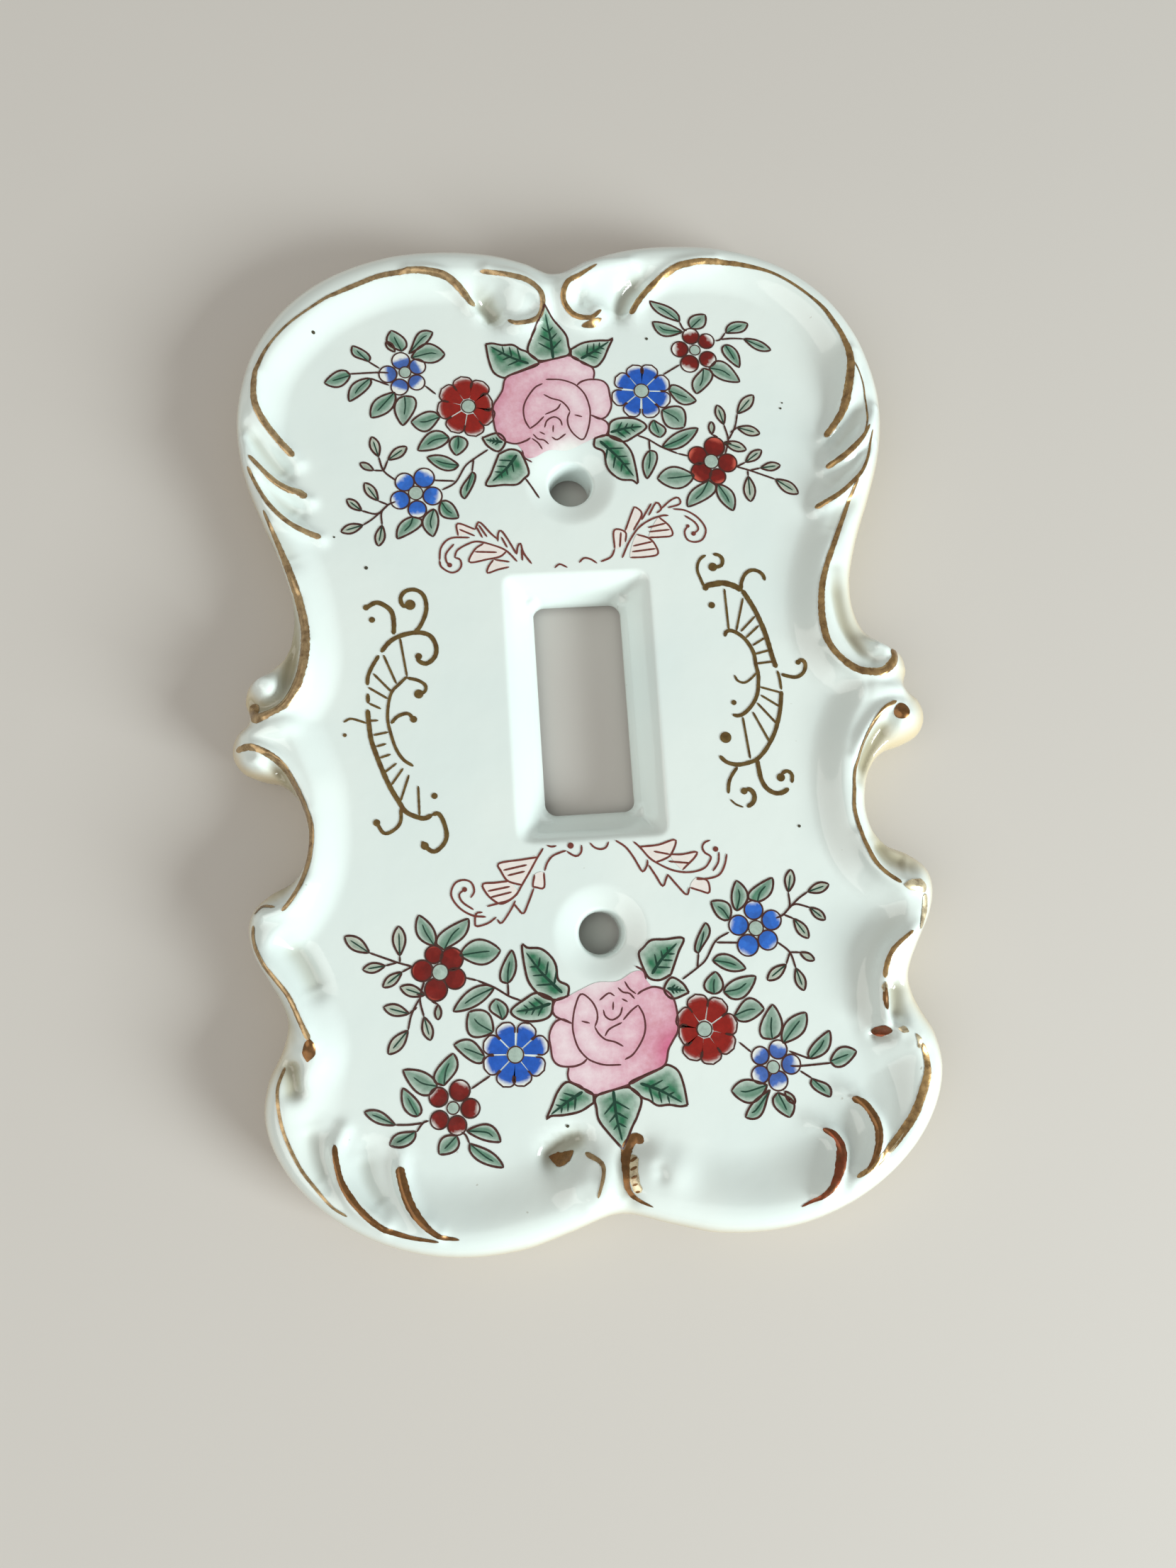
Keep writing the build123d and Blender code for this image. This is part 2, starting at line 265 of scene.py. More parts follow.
def moved_inward(loop, distance):
    """Each point of a closed loop moved to its inner side, square to its neighbours."""
    run = np.roll(loop, -1, axis=0) - np.roll(loop, 1, axis=0)
    normal = np.column_stack([-run[:, 1], run[:, 0]]) / np.hypot(*run.T)[:, None]
    area = np.sum(loop[:, 0] * np.roll(loop[:, 1], -1) - np.roll(loop[:, 0], -1) * loop[:, 1])
    return loop + normal * distance * math.copysign(1, area)


# ---- what the CAD gives: everything below the bulge, and the loops where it is cut --
def rim_loops(body):
    """The open edges of a mesh as loops of vertices, each in order, the widest loop first."""
    loops, walked = [], set()
    for first in body.edges:
        if first in walked or not first.is_boundary:
            continue
        walked.add(first)
        loop = [first.verts[0], first.verts[1]]
        while loop[-1] is not loop[0]:
            following = next(edge for edge in loop[-1].link_edges
                             if edge.is_boundary and edge not in walked)
            walked.add(following)
            loop.append(following.other_vert(loop[-1]))
        loops.append(loop[:-1])
    return sorted(loops, key=loop_width, reverse=True)


def calm(loop, passes=8):
    """Take the small zigzags of the CAD's facets out of a loop without shrinking it."""
    points = flat_points(loop)
    for weight in (0.5, -0.52) * passes:
        middle = (np.roll(points, 1, axis=0) + np.roll(points, -1, axis=0)) / 2
        points = points + weight * (middle - points)
    for vert, (x, y) in zip(loop, points):
        vert.co.xy = (x * MM, y * MM)


def lower_part():
    """The CAD node below the bulge, welded, and its cut loops as lists of vertices."""
    body = bmesh.new()
    body.from_mesh(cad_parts[PLATE].data)
    bmesh.ops.remove_doubles(body, verts=body.verts, dist=1e-7)
    everything = body.verts[:] + body.edges[:] + body.faces[:]
    bmesh.ops.bisect_plane(body, geom=everything, dist=1e-8, plane_co=(0, 0, BULGE_Z * MM),
                           plane_no=(0, 0, 1), clear_outer=True)
    loops = rim_loops(body)
    calm(loops[0])
    return body, loops


def evenly_along(path, step):
    """Points at an even step along a polyline."""
    run = np.concatenate([[0], np.cumsum(np.hypot(*np.diff(path, axis=0).T))])
    even = np.linspace(0, run[-1], int(round(run[-1] / step)) + 1)
    return np.column_stack([np.interp(even, run, path[:, k]) for k in (0, 1)])


def flat_points(loop):
    return np.array([(vert.co.x, vert.co.y) for vert in loop]) / MM


def loop_width(loop):
    return np.ptp(flat_points(loop)[:, 0])


def closed_path(loop):
    return np.vstack([loop, loop[:1]])


lower_mesh, cut_loops = lower_part()
OUTLINE, OPENING, *SCREW_HOLES = [flat_points(loop) for loop in cut_loops]
OUTLINE_PATH = closed_path(OUTLINE)
CREST = smooth_path(CREST_RIGHT + CREST_LEFT[::-1], 0.8, closed=True)


# ---- the sculpted front -----------------------------------------------------------
def rim_and_field(points):
    """Height of the raised rim and the dished field, and how far a fold may show there."""
    out_gap, _ = path_distance(points, OUTLINE_PATH)
    crest_gap, _ = path_distance(points, CREST)
    share = out_gap / (out_gap + crest_gap + 1e-9)
    outer = BULGE_Z + (CREST_Z - BULGE_Z) * (1 - (1 - share) ** OUTER_POWER) ** (1 / OUTER_ROOT)
    width = SLOPE_WIDTH + LOBE_EXTRA * smoothstep((LOBE_TOP_Y - points[:, 1]) / LOBE_FADE)
    fall = np.sin(0.5 * math.pi * np.clip(crest_gap / width, 0, 1)) ** SLOPE_POWER
    inner = CREST_Z - (CREST_Z - FIELD_Z) * fall
    height = np.where(inside_loop(points, CREST), inner, outer)
    return height, smoothstep(out_gap / FOLD_FADE)


def folds(points):
    """Ridges and valleys of the scrolls. Long ones fade at both ends; short ones are domes."""
    step = 0.4
    height = np.zeros(len(points))
    for rise, width, knots in FOLDS:
        path = smooth_path(knots, step)
        reach = 3 * width
        low, high = path.min(0) - reach, path.max(0) + reach
        near = np.all((points > low) & (points < high), axis=1)
        if not near.any():
            continue
        gap, along = path_distance(points[near], path)
        ends = smoothstep(along / 0.25) * 0.5 + 0.5
        ends = ends * (smoothstep((1 - along) / 0.15) * 0.35 + 0.65)
        if len(path) * step < 2.5 * width:
            ends = 1
        height[near] += rise * np.exp(-(gap / width) ** 2) * ends
    return height


def funnel(points, height):
    """The sloping recess round the toggle opening."""
    x, y = points.T
    past_x, past_y = np.abs(x) - OPENING_HALF[0], np.abs(y) - OPENING_HALF[1]
    across = np.maximum(past_x / np.where(x < 0, FUNNEL_LEFT, FUNNEL_RIGHT), 0)
    along = np.maximum(past_y / np.where(y < 0, FUNNEL_BOTTOM, FUNNEL_TOP), 0)
    share = (across ** FUNNEL_CORNER + along ** FUNNEL_CORNER) ** (1 / FUNNEL_CORNER)
    share = np.clip(share, 0, 1)
    slope = 1 - (1 - share) ** FUNNEL_POWER
    return FUNNEL_FLOOR + (height - FUNNEL_FLOOR) * slope


def screw_dimples(points, height):
    """A smooth bowl round each screw hole, rolling over into the hole."""
    for centre_y in (SCREW_Y, -SCREW_Y):
        radius = np.hypot(points[:, 0], points[:, 1] - centre_y)
        bowl = np.clip(1 - (radius / DIMPLE_RADIUS) ** 2, 0, 1) ** DIMPLE_POWER
        height = height - DIMPLE_DEPTH * bowl
        lip = np.clip((radius - HOLE_RADIUS) / HOLE_LIP, 0, 1)
        rolled = BULGE_Z + (height - BULGE_Z) * np.sqrt(np.clip(1 - (1 - lip) ** 2, 0, 1))
        height = np.where(radius < HOLE_RADIUS + HOLE_LIP, rolled, height)
    return height


def front_height(points):
    """Height of the sculpted front over any points of the plate."""
    points = np.asarray(points, float)
    height, edge_fade = rim_and_field(points)
    height = height + folds(points) * edge_fade
    over = np.maximum(height - SOFT_Z, 0)
    height = np.minimum(height, SOFT_Z) + SOFT_ROOM * (1 - np.exp(-over / SOFT_ROOM))
    height = funnel(points, height)
    return screw_dimples(points, height)


def grid(low, high, step):
    """Evenly spaced points over a rectangle."""
    x, y = np.meshgrid(np.arange(low[0], high[0], step), np.arange(low[1], high[1], step))
    return np.column_stack([x.ravel(), y.ravel()])


def near_detail(points, rim_gap):
    """Where the front is sculpted closely: the rim, the funnel and the dimples."""
    x, y = np.abs(points).T
    by_funnel = (x < DETAIL_HALF[0]) & (y < DETAIL_HALF[1])
    by_screw = np.hypot(x, y - SCREW_Y) < DETAIL_DIMPLE
    return (rim_gap < DETAIL_RIM) | by_funnel | by_screw


def front_points():
    """Points to sculpt: rings inside the outline, rings round the holes, and a grid."""
    even_outline = evenly_along(OUTLINE_PATH, RIM_STEP)[:-1]
    rings = [moved_inward(OUTLINE, distance) for distance in CLOSE_RINGS]
    rings += [moved_inward(even_outline, distance) for distance in EVEN_RINGS]
    for hole in SCREW_HOLES:
        centre = hole.mean(0)
        rings += [centre + (hole - centre) * (1 + gap / HOLE_RADIUS) for gap in HOLE_RINGS]
    fill = []
    for step, wants_detail in ((FINE_STEP, True), (COARSE_STEP, False)):
        candidates = grid(OUTLINE.min(0), OUTLINE.max(0), step)
        candidates = candidates[inside_loop(candidates, OUTLINE)]
        rim_gap, _ = path_distance(candidates, OUTLINE_PATH)
        hole_gap = np.hypot(candidates[:, 0], np.abs(candidates[:, 1]) - SCREW_Y)
        keep = (near_detail(candidates, rim_gap) == wants_detail) & (rim_gap > RIM_MARGIN)
        fill.append(candidates[keep & (hole_gap > HOLE_RADIUS + HOLE_MARGIN)])
    points = np.vstack(rings + fill)
    opening_gap, _ = path_distance(points, closed_path(OPENING))
    return points[~inside_loop(points, OPENING) & (opening_gap > OPENING_MARGIN)]


def loop_edges(loops):
    """The edges that close each loop, for points stacked loop after loop."""
    edges = []
    for loop in loops:
        start, count = len(edges), len(loop)
        edges += [(start + i, start + (i + 1) % count) for i in range(count)]
    return edges


def triangulated_front():
    """Flat points and triangles of the front, and which points lie on the CAD's cut loops."""
    loops = [OUTLINE, OPENING, *SCREW_HOLES]
    edges = loop_edges(loops)
    flat = [Vector(point) for point in np.vstack([*loops, front_points()])]
    points, _, faces, sources, _, _ = delaunay_2d_cdt(flat, edges, [], 0, 1e-6)
    points = np.array([tuple(point) for point in points])
    faces = np.array(faces)
    centres = points[faces].mean(1)
    keep = inside_loop(centres, OUTLINE)
    for hole in loops[1:]:
        keep &= ~inside_loop(centres, hole)
    on_loop = np.array([any(source < len(edges) for source in given) for given in sources])
    return points, faces[keep], on_loop


def front_mesh():
    points, faces, on_loop = triangulated_front()
    height = np.where(on_loop, BULGE_Z, np.maximum(front_height(points), BULGE_Z))
    shape = bmesh.new()
    verts = [shape.verts.new((x * MM, y * MM, z * MM)) for (x, y), z in zip(points, height)]
    for a, b, c in faces.tolist():
        shape.faces.new((verts[a], verts[b], verts[c]))
    loose = [vert for vert in shape.verts if not vert.link_faces]
    bmesh.ops.delete(shape, geom=loose, context="VERTS")
    mesh = bpy.data.meshes.new("front")
    shape.to_mesh(mesh)
    return mesh


def shade_body(mesh):
    """Smooth shading, but sharp edges, and flat shading on the level foot and hollow."""
    mesh.shade_smooth()
    mesh.set_sharp_from_angle(angle=math.radians(SHARP_ANGLE))
    for polygon in mesh.polygons:
        if abs(polygon.normal.z) > LEVEL and polygon.center.z < BULGE_Z * MM:
            polygon.use_smooth = False


def tone_body(mesh):
    """Cream tint with painted warm shade on the outer wall and foot, and painted shade in valleys,
    where the glaze pools.
    """
    coords = np.empty(len(mesh.vertices) * 3)
    mesh.vertices.foreach_get("co", coords)
    coords = coords.reshape(-1, 3) / MM
    flat, z = coords[:, :2], coords[:, 2]
    outer = ~inside_loop(flat, CREST)
    lower = z < BULGE_Z - 0.01
    outer[lower] = path_distance(flat[lower], OUTLINE_PATH)[0] < FOOT_REACH
    # painted warm shade: a cream tint on the outer wall and foot, standing in for shade and warm
    # reflected light
    cream_shade = np.where(outer, smoothstep((CREST_Z - CREAM_SHADE_BELOW - z) / CREAM_SHADE_FADE), 0)
    front = z > BULGE_Z + 0.5
    # painted shade in the valleys of the folds, darkest where they are deepest and where glaze would
    # pool
    pooled_shade = np.zeros(len(z))
    pooled_shade[front] = smoothstep(-folds(flat[front]) / POOL_SHADE_DEPTH)
    for name, values in (("cream_shade", cream_shade), ("pooled_shade", pooled_shade)):
        attribute = mesh.attributes.new(name, "FLOAT", "POINT")
        attribute.data.foreach_set("value", values.astype(np.float32))


def make_body():
    """The whole porcelain body: CAD foot and back, sculpted front, welded at the bulge."""
    front = front_mesh()
    lower_mesh.from_mesh(front)
    bpy.data.meshes.remove(front)
    bmesh.ops.remove_doubles(lower_mesh, verts=lower_mesh.verts, dist=2e-6)
    bmesh.ops.recalc_face_normals(lower_mesh, faces=lower_mesh.faces)
    mesh = bpy.data.meshes.new("porcelain_body")
    lower_mesh.to_mesh(mesh)
    shade_body(mesh)
    tone_body(mesh)
    return finish_piece("porcelain_body", mesh, make_glaze())


def finish_piece(name, mesh, material):
    piece = bpy.data.objects.new(name, mesh)
    bpy.context.scene.collection.objects.link(piece)
    mesh.materials.clear()
    mesh.materials.append(material)
    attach(piece, "root")
    return piece


# ---- materials --------------------------------------------------------------------
def linear(red, green, blue):
    """A colour given as 0-255 display values, as linear light."""
    return tuple((value / 255) ** 2.2 for value in (red, green, blue))


def new_material(name):
    material = bpy.data.materials.new(name)
    material.use_nodes = True
    return material, material.node_tree, material.node_tree.nodes["Principled BSDF"]


def noise(tree, scale, detail=3.0, harshness=0.5):
    """Noise in object space; scale is in features per metre."""
    coordinates = tree.nodes.new("ShaderNodeTexCoord")
    texture = tree.nodes.new("ShaderNodeTexNoise")
    texture.inputs["Scale"].default_value = scale
    texture.inputs["Detail"].default_value = detail
    texture.inputs["Roughness"].default_value = harshness
    tree.links.new(coordinates.outputs["Object"], texture.inputs["Vector"])
    return texture.outputs["Fac"]


def remap(tree, value, low, high, new_low, new_high):
    """Stretch a value from one range to another, clamped at both ends."""
    node = tree.nodes.new("ShaderNodeMapRange")
    settings = zip(("From Min", "From Max", "To Min", "To Max"), (low, high, new_low, new_high))
    for socket, setting in settings:
        node.inputs[socket].default_value = setting
    tree.links.new(value, node.inputs["Value"])
    return node.outputs["Result"]


def mix(tree, share, first, second, blend="MIX"):
    """Mix two colours; each is a socket or a linear colour."""
    node = tree.nodes.new("ShaderNodeMix")
    node.data_type = "RGBA"
    node.blend_type = blend
    share_socket, first_socket, second_socket = (node.inputs[i] for i in (0, 6, 7))
    for socket, given in ((share_socket, share), (first_socket, first), (second_socket, second)):
        if isinstance(given, bpy.types.NodeSocket):
            tree.links.new(given, socket)
        elif isinstance(given, tuple):
            socket.default_value = (*given, 1)
        else:
            socket.default_value = given
    return node.outputs[2]


def bump(tree, shader, value, depth):
    """Fine relief, its depth in metres."""
    node = tree.nodes.new("ShaderNodeBump")
    node.inputs["Distance"].default_value = depth
    node.inputs["Strength"].default_value = 0.6
    tree.links.new(value, node.inputs["Height"])
    tree.links.new(node.outputs["Normal"], shader.inputs["Normal"])


def vertex_value(tree, name):
    node = tree.nodes.new("ShaderNodeAttribute")
    node.attribute_name = name
    return node


GLAZE, GLAZE_CLOUD = linear(225, 239, 237), linear(231, 243, 240)
# cream tint of the outer wall and foot, which is also painted warm shade
GLAZE_CREAM_SHADE = linear(211, 196, 160)
# darker olive glaze for the valleys: painted shade, and partly glaze pooling
GLAZE_POOL_SHADE = linear(150, 146, 118)
GLAZE_SPECK = linear(150, 140, 120)
WORN_GOLD = linear(112, 84, 58)


def roughness(tree, shader, scale, detail, low, high):
    """Roughness that varies between two values in patches."""
    patches = remap(tree, noise(tree, scale, detail), 0.3, 0.7, low, high)
    tree.links.new(patches, shader.inputs["Roughness"])


def make_glaze():
    """Glossy porcelain glaze: faint cloudiness, a cream tint with painted warm shade on the outer wall
    and foot, and painted shade in valleys, where it pools.
    """
    material, tree, shader = new_material("white_glaze")
    cloud = remap(tree, noise(tree, 60, 2), 0.35, 0.65, 0, 1)
    toned = mix(tree, cloud, GLAZE, GLAZE_CLOUD)
    # painted warm shade on the outer wall and foot
    toned = mix(tree, vertex_value(tree, "cream_shade").outputs["Fac"], toned, GLAZE_CREAM_SHADE)
    # painted shade in the valleys, where the glaze also pools
    depth = remap(tree, vertex_value(tree, "pooled_shade").outputs["Fac"], 0, 1, 0, 0.7)
    toned = mix(tree, depth, toned, GLAZE_POOL_SHADE)
    speck = remap(tree, noise(tree, 900, 1), 0.80, 0.84, 0, 0.5)
    tree.links.new(mix(tree, speck, toned, GLAZE_SPECK), shader.inputs["Base Color"])
    roughness(tree, shader, 250, 3, 0.07, 0.17)
    bump(tree, shader, noise(tree, 320, 2), 0.00006)
    shader.inputs["IOR"].default_value = 1.55
    shader.inputs["Coat Weight"].default_value = 0.5
    shader.inputs["Coat Roughness"].default_value = 0.04
    return material


def make_enamel():
    """Painted enamel under a thin glaze; its colour is painted on the vertices."""
    material, tree, shader = new_material("painted_enamel")
    paint = vertex_value(tree, "paint").outputs["Color"]
    brushed = remap(tree, noise(tree, 1400, 4, 0.6), 0.3, 0.7, 0.0, 1.0)
    tree.links.new(mix(tree, 0.16, paint, brushed, "OVERLAY"), shader.inputs["Base Color"])
    roughness(tree, shader, 700, 2, 0.12, 0.3)
    shader.inputs["Coat Weight"].default_value = 0.3
    shader.inputs["Coat Roughness"].default_value = 0.06
    return material


def make_gilding():
    """Thin, partly rubbed gold: warm metal with darker brown patches."""
    material, tree, shader = new_material("gilding")
    paint = vertex_value(tree, "paint").outputs["Color"]
    rubbed = remap(tree, noise(tree, 900, 4, 0.65), 0.42, 0.68, 0, 0.75)
    tree.links.new(mix(tree, rubbed, paint, WORN_GOLD), shader.inputs["Base Color"])
    metal = remap(tree, noise(tree, 1300, 3), 0.3, 0.7, 0.9, 0.55)
    tree.links.new(metal, shader.inputs["Metallic"])
    roughness(tree, shader, 1100, 3, 0.16, 0.38)
    bump(tree, shader, noise(tree, 1500, 3), 0.00003)
    return material


# ---- colours of the painting ------------------------------------------------------
WHITE = linear(232, 238, 234)
LINE = linear(70, 38, 32)
LEAF_EDGE = linear(194, 212, 202)
BUD_EDGE = linear(206, 210, 198)
LEAF_HEART = linear(48, 114, 86)
LEAF_DULL = linear(118, 148, 132)
VEIN = linear(18, 62, 48)
DARK_RED = linear(118, 22, 12)
RED = linear(138, 24, 12)
CORAL = linear(205, 92, 76)
COBALT = linear(30, 88, 186)
BLUE = linear(48, 108, 206)
PALE_BLUE = linear(72, 108, 186)
DISC = linear(165, 186, 176)
PINK_RICH = linear(204, 96, 134)
PINK_DEEP = linear(217, 164, 181)
PINK = linear(230, 192, 205)
PINK_PALE = linear(238, 219, 226)
GARLAND_LINE = linear(112, 56, 48)
ROSE_LINE = linear(92, 50, 52)
GARLAND_FILL = linear(236, 231, 226)
# one gold in two painted tones: paler on the lit left, darker on the right, as painted reflection
GILT_LIT_LEFT = linear(190, 164, 124)
GILT_SHADED_RIGHT = linear(178, 146, 100)
GILT_SCROLL = linear(132, 110, 68)
# gold painted dark brown: painted dark reflection, where the gold mirrors darker surroundings
GILT_SHADED_DARK = linear(136, 98, 62)
GILT_RED = linear(142, 78, 54)
# pale gold: painted glints on the right rim's gilding, and the worn volute's pale wash
GILT_GLINT_PALE = linear(244, 232, 196)
SPECK = linear(70, 66, 52)

# ---- how the paint lies on the front ----------------------------------------------
FILL_LIFT, LINE_LIFT, GILT_LIFT = 0.05, 0.085, 0.08       # above the glaze
DISC_LIFT, RING_LIFT = LINE_LIFT + 0.012, LINE_LIFT + 0.02
MOST_LIFT = 4            # a lift grows with the steepness below it, up to this many times
SLOPE_PROBE = 0.04       # distance over which that steepness is measured
DOT_SIDES = 18
PETAL_SIDES = 20
LEAF_ACROSS = np.array([0, 0.13, 0.3, 0.5, 0.7, 0.87, 1])      # columns of a leaf
LEAF_ROWS = 12


class Layer:
    """A thin painted layer: flat shapes gathered first, then laid over the front."""

    def __init__(self):
        self.points, self.colours, self.lifts, self.faces = [], [], [], []
        self.count = 0

    def add(self, points, faces, colours, lift):
        """Gather a shape; colours and lift hold for all its points, or one for each."""
        points = np.asarray(points, float)
        colours = np.broadcast_to(np.asarray(colours, float), (len(points), 3))
        self.points.append(points)
        self.colours.append(colours)
        self.lifts.append(np.broadcast_to(lift, len(points)))
        self.faces += [tuple(self.count + i for i in face) for face in faces]
        self.count += len(points)

    def make(self, name, slot, material):
        """Lay the gathered shapes over the front as one piece, all facing outward."""
        flat = np.vstack(self.points)
        height = front_height(flat)
        rise_x = front_height(flat + (SLOPE_PROBE, 0)) - height
        rise_y = front_height(flat + (0, SLOPE_PROBE)) - height
        steepness = np.sqrt(1 + (rise_x ** 2 + rise_y ** 2) / SLOPE_PROBE ** 2)
        height = height + np.concatenate(self.lifts) * np.minimum(steepness, MOST_LIFT)
        mesh = bpy.data.meshes.new(name)
        mesh.from_pydata((np.column_stack([flat, height]) * MM).tolist(), [], self.faces)
        paint = mesh.color_attributes.new("paint", "FLOAT_COLOR", "POINT")
        colours = np.vstack(self.colours)
        rgba = np.column_stack([colours, np.ones(len(colours))]).astype(np.float32)
        paint.data.foreach_set("color", rgba.ravel())
        shape = bmesh.new()
        shape.from_mesh(mesh)
        bmesh.ops.recalc_face_normals(shape, faces=shape.faces)
        downward = [face for face in shape.faces if face.normal.z < 0]
        bmesh.ops.reverse_faces(shape, faces=downward)
        shape.to_mesh(mesh)
        mesh.shade_smooth()
        return finish_piece(name, mesh, material)


def strip_faces(rows, columns):
    """Four-sided faces between points that stand in rows and columns."""
    return [(r * columns + c, r * columns + c + 1, (r + 1) * columns + c + 1, (r + 1) * columns + c)
            for r in range(rows - 1) for c in range(columns - 1)]


BOTTOM_TURN = 180 - 0.37
BOTTOM_SHIFT = (-0.81, -1.45)


def as_top(points):
    """Where a motif drawn for the top lies: unchanged."""
    return np.asarray(points, float)


def as_bottom(points):
    """The same motif on the lower half: turned half round, a little off true."""
    turn = math.radians(BOTTOM_TURN)
    x, y = np.asarray(points, float).T
    turned_x = x * math.cos(turn) - y * math.sin(turn)
    turned_y = x * math.sin(turn) + y * math.cos(turn)
    return np.column_stack([turned_x + BOTTOM_SHIFT[0], turned_y + BOTTOM_SHIFT[1]])


# ---- brush marks ------------------------------------------------------------------
def stroke(layer, place, knots, width, colour, lift=LINE_LIFT, ends=0.45, step=0.3):
    """A line of paint along a smooth path; width is a number or a list along it.

    ends is how wide the line starts and stops, as a share of its width.
    """
    path = smooth_path(knots, step)
    count = len(path)
    along = np.linspace(0, 1, count)
    widths = np.atleast_1d(np.asarray(width, float))
    half = 0.5 * np.interp(along, np.linspace(0, 1, len(widths)), widths)
    taper = np.minimum(1, np.minimum(along, 1 - along) * (count - 1) * step / 0.5 + ends)
    wobble = [1 + rng.uniform(-0.08, 0.08) for _ in range(count)]
    half = half * taper * wobble
    run = np.gradient(path, axis=0)
    side = np.column_stack([-run[:, 1], run[:, 0]]) / np.maximum(np.hypot(*run.T), 1e-9)[:, None]
    offset = side * half[:, None]
    columns = 3 if widths.max() < 0.5 else 5 if widths.max() < 0.9 else 9
    across = np.linspace(-1, 1, columns)
    rows = path[:, None, :] + offset[:, None, :] * across[None, :, None]
    lifts = np.tile(lift - 0.012 * across ** 2, count)
    layer.add(place(rows.reshape(-1, 2)), strip_faces(count, columns), colour, lifts)


def circle(sides):
    angles = np.linspace(0, 2 * math.pi, sides, endpoint=False)
    return np.column_stack([np.cos(angles), np.sin(angles)])


def ring_faces(sides, rings):
    """Faces of a disc: a centre point, then that many rings, each with that many points."""
    following = [(i + 1) % sides for i in range(sides)]
    faces = [(0, 1 + i, 1 + j) for i, j in enumerate(following)]
    for ring in range(1, rings):
        inner, outer = 1 + (ring - 1) * sides, 1 + ring * sides
        faces += [(inner + i, outer + i, outer + j, inner + j) for i, j in enumerate(following)]
    return faces


def dot(layer, place, centre, radius, colour, lift=LINE_LIFT):
    """A round touch of paint, its rim sunk a little."""
    ring = circle(DOT_SIDES) * radius
    points = np.vstack([[centre], centre + ring * 0.6, centre + ring])
    lifts = np.full(len(points), lift)
    lifts[-DOT_SIDES:] -= 0.015
    layer.add(place(points), ring_faces(DOT_SIDES, 2), colour, lifts)


def filled(layer, place, outline, tint, lift=FILL_LIFT, spacing=0.45):
    """Fill a smooth closed outline; tint gives the colours of an array of points."""
    loop = smooth_path(outline, 0.4, closed=True)[:-1]
    inner = grid(loop.min(0), loop.max(0), spacing)
    inner = inner[inside_loop(inner, loop)]
    gap, _ = path_distance(inner, closed_path(loop))
    flat = [Vector(point) for point in np.vstack([loop, inner[gap > 0.2]])]
    points, _, faces, _, _, _ = delaunay_2d_cdt(flat, loop_edges([loop]), [], 1, 1e-6)
    points = np.array([tuple(point) for point in points])
    layer.add(place(points), faces, tint(points), lift)


def blend(first, second, share):
    """Colours between two colours, one for each share."""
    share = np.clip(share, 0, 1)[:, None]
    return np.asarray(first) * (1 - share) + np.asarray(second) * share


def between(start, end, share):
    """The point a given share of the way from start to end."""
    return (start[0] + (end[0] - start[0]) * share, start[1] + (end[1] - start[1]) * share)


def leaf_side(base, bulge, tip, count):
    """One edge of a leaf: a full curve from base to tip, widest at its bulge."""
    base, bulge, tip = np.array(base), np.array(bulge), np.array(tip)
    ahead = tip - base
    widest = np.clip((bulge - base) @ ahead / (ahead @ ahead), 0.35, 0.65)
    aside = bulge - base - ahead * widest
    share = np.linspace(0, 1, count)[:, None]
    profile = np.sin(math.pi * share ** (math.log(0.5) / math.log(widest))).clip(0, 1) ** 0.8
    return base + ahead * share + aside * profile


def leaf(fills, lines, place, base, tip, left, right, edge=LEAF_EDGE, strength=1.0):
    """A painted leaf: two sides bulging through given points, a tinted heart, a vein."""
    sides = [leaf_side(base, bulge, tip, LEAF_ROWS) for bulge in (left, right)]
    across = LEAF_ACROSS[:, None]
    points = sides[0][:, None] * (1 - across) + sides[1][:, None] * across
    greyness = rng.uniform(0.1, 0.9)
    heart = blend(LEAF_HEART, LEAF_DULL, np.full(1, greyness))[0]
    lit_side = rng.choice((-0.15, 0.15))
    off_vein = LEAF_ACROSS - 0.5
    by_column = np.clip(2.5 - np.abs(off_vein) * 5.6, 0, 1) * (1 - np.abs(off_vein - lit_side) * 0.7)
    by_row = np.clip(1.5 - np.linspace(0, 1, LEAF_ROWS) * 0.85, 0, 1)
    colours = blend(edge, heart, np.outer(by_row, by_column).ravel() * strength)
    faces = strip_faces(LEAF_ROWS, len(LEAF_ACROSS))
    fills.add(place(points.reshape(-1, 2)), faces, colours, FILL_LIFT)
    for side in sides:
        stroke(lines, place, side, 0.27, LINE)
    if math.dist(base, tip) > 2.2:
        middle = between(left, right, 0.5)
        stroke(lines, place, [base, middle, between(middle, tip, 0.45)], 0.18, VEIN)


def bud(fills, lines, place, base, tip, width=0.42):
    """A slim bud; width is each side's bulge as a share of its length."""
    middle = between(base, tip, 0.55)
    reach = width * 0.5
    aside = ((tip[1] - base[1]) * reach, (base[0] - tip[0]) * reach)
    left = (middle[0] + aside[0], middle[1] + aside[1])
    right = (middle[0] - aside[0], middle[1] - aside[1])
    leaf(fills, lines, place, base, tip, left, right, BUD_EDGE, 0.55)


def round_petal(fills, lines, place, centre, radius, heart, main, rim, rim_from):
    """One round petal: main colour by the flower's heart, a paler rim on the far side."""
    out = np.subtract(centre, heart)
    out = out / np.hypot(*out)
    ring = circle(PETAL_SIDES) * radius
    points = np.vstack([[centre], centre + ring * 0.45, centre + ring * 0.75, centre + ring])
    reach = (points - centre) @ out / radius
    colours = blend(main, rim, (reach - rim_from) / 0.3)
    colours = colours * np.where(reach < -0.2, 0.8, 1.0)[:, None]
    fills.add(place(points), ring_faces(PETAL_SIDES, 3), colours, FILL_LIFT)
    stroke(lines, place, np.vstack([centre + ring, centre + ring[:2]]), 0.2, LINE, ends=1)


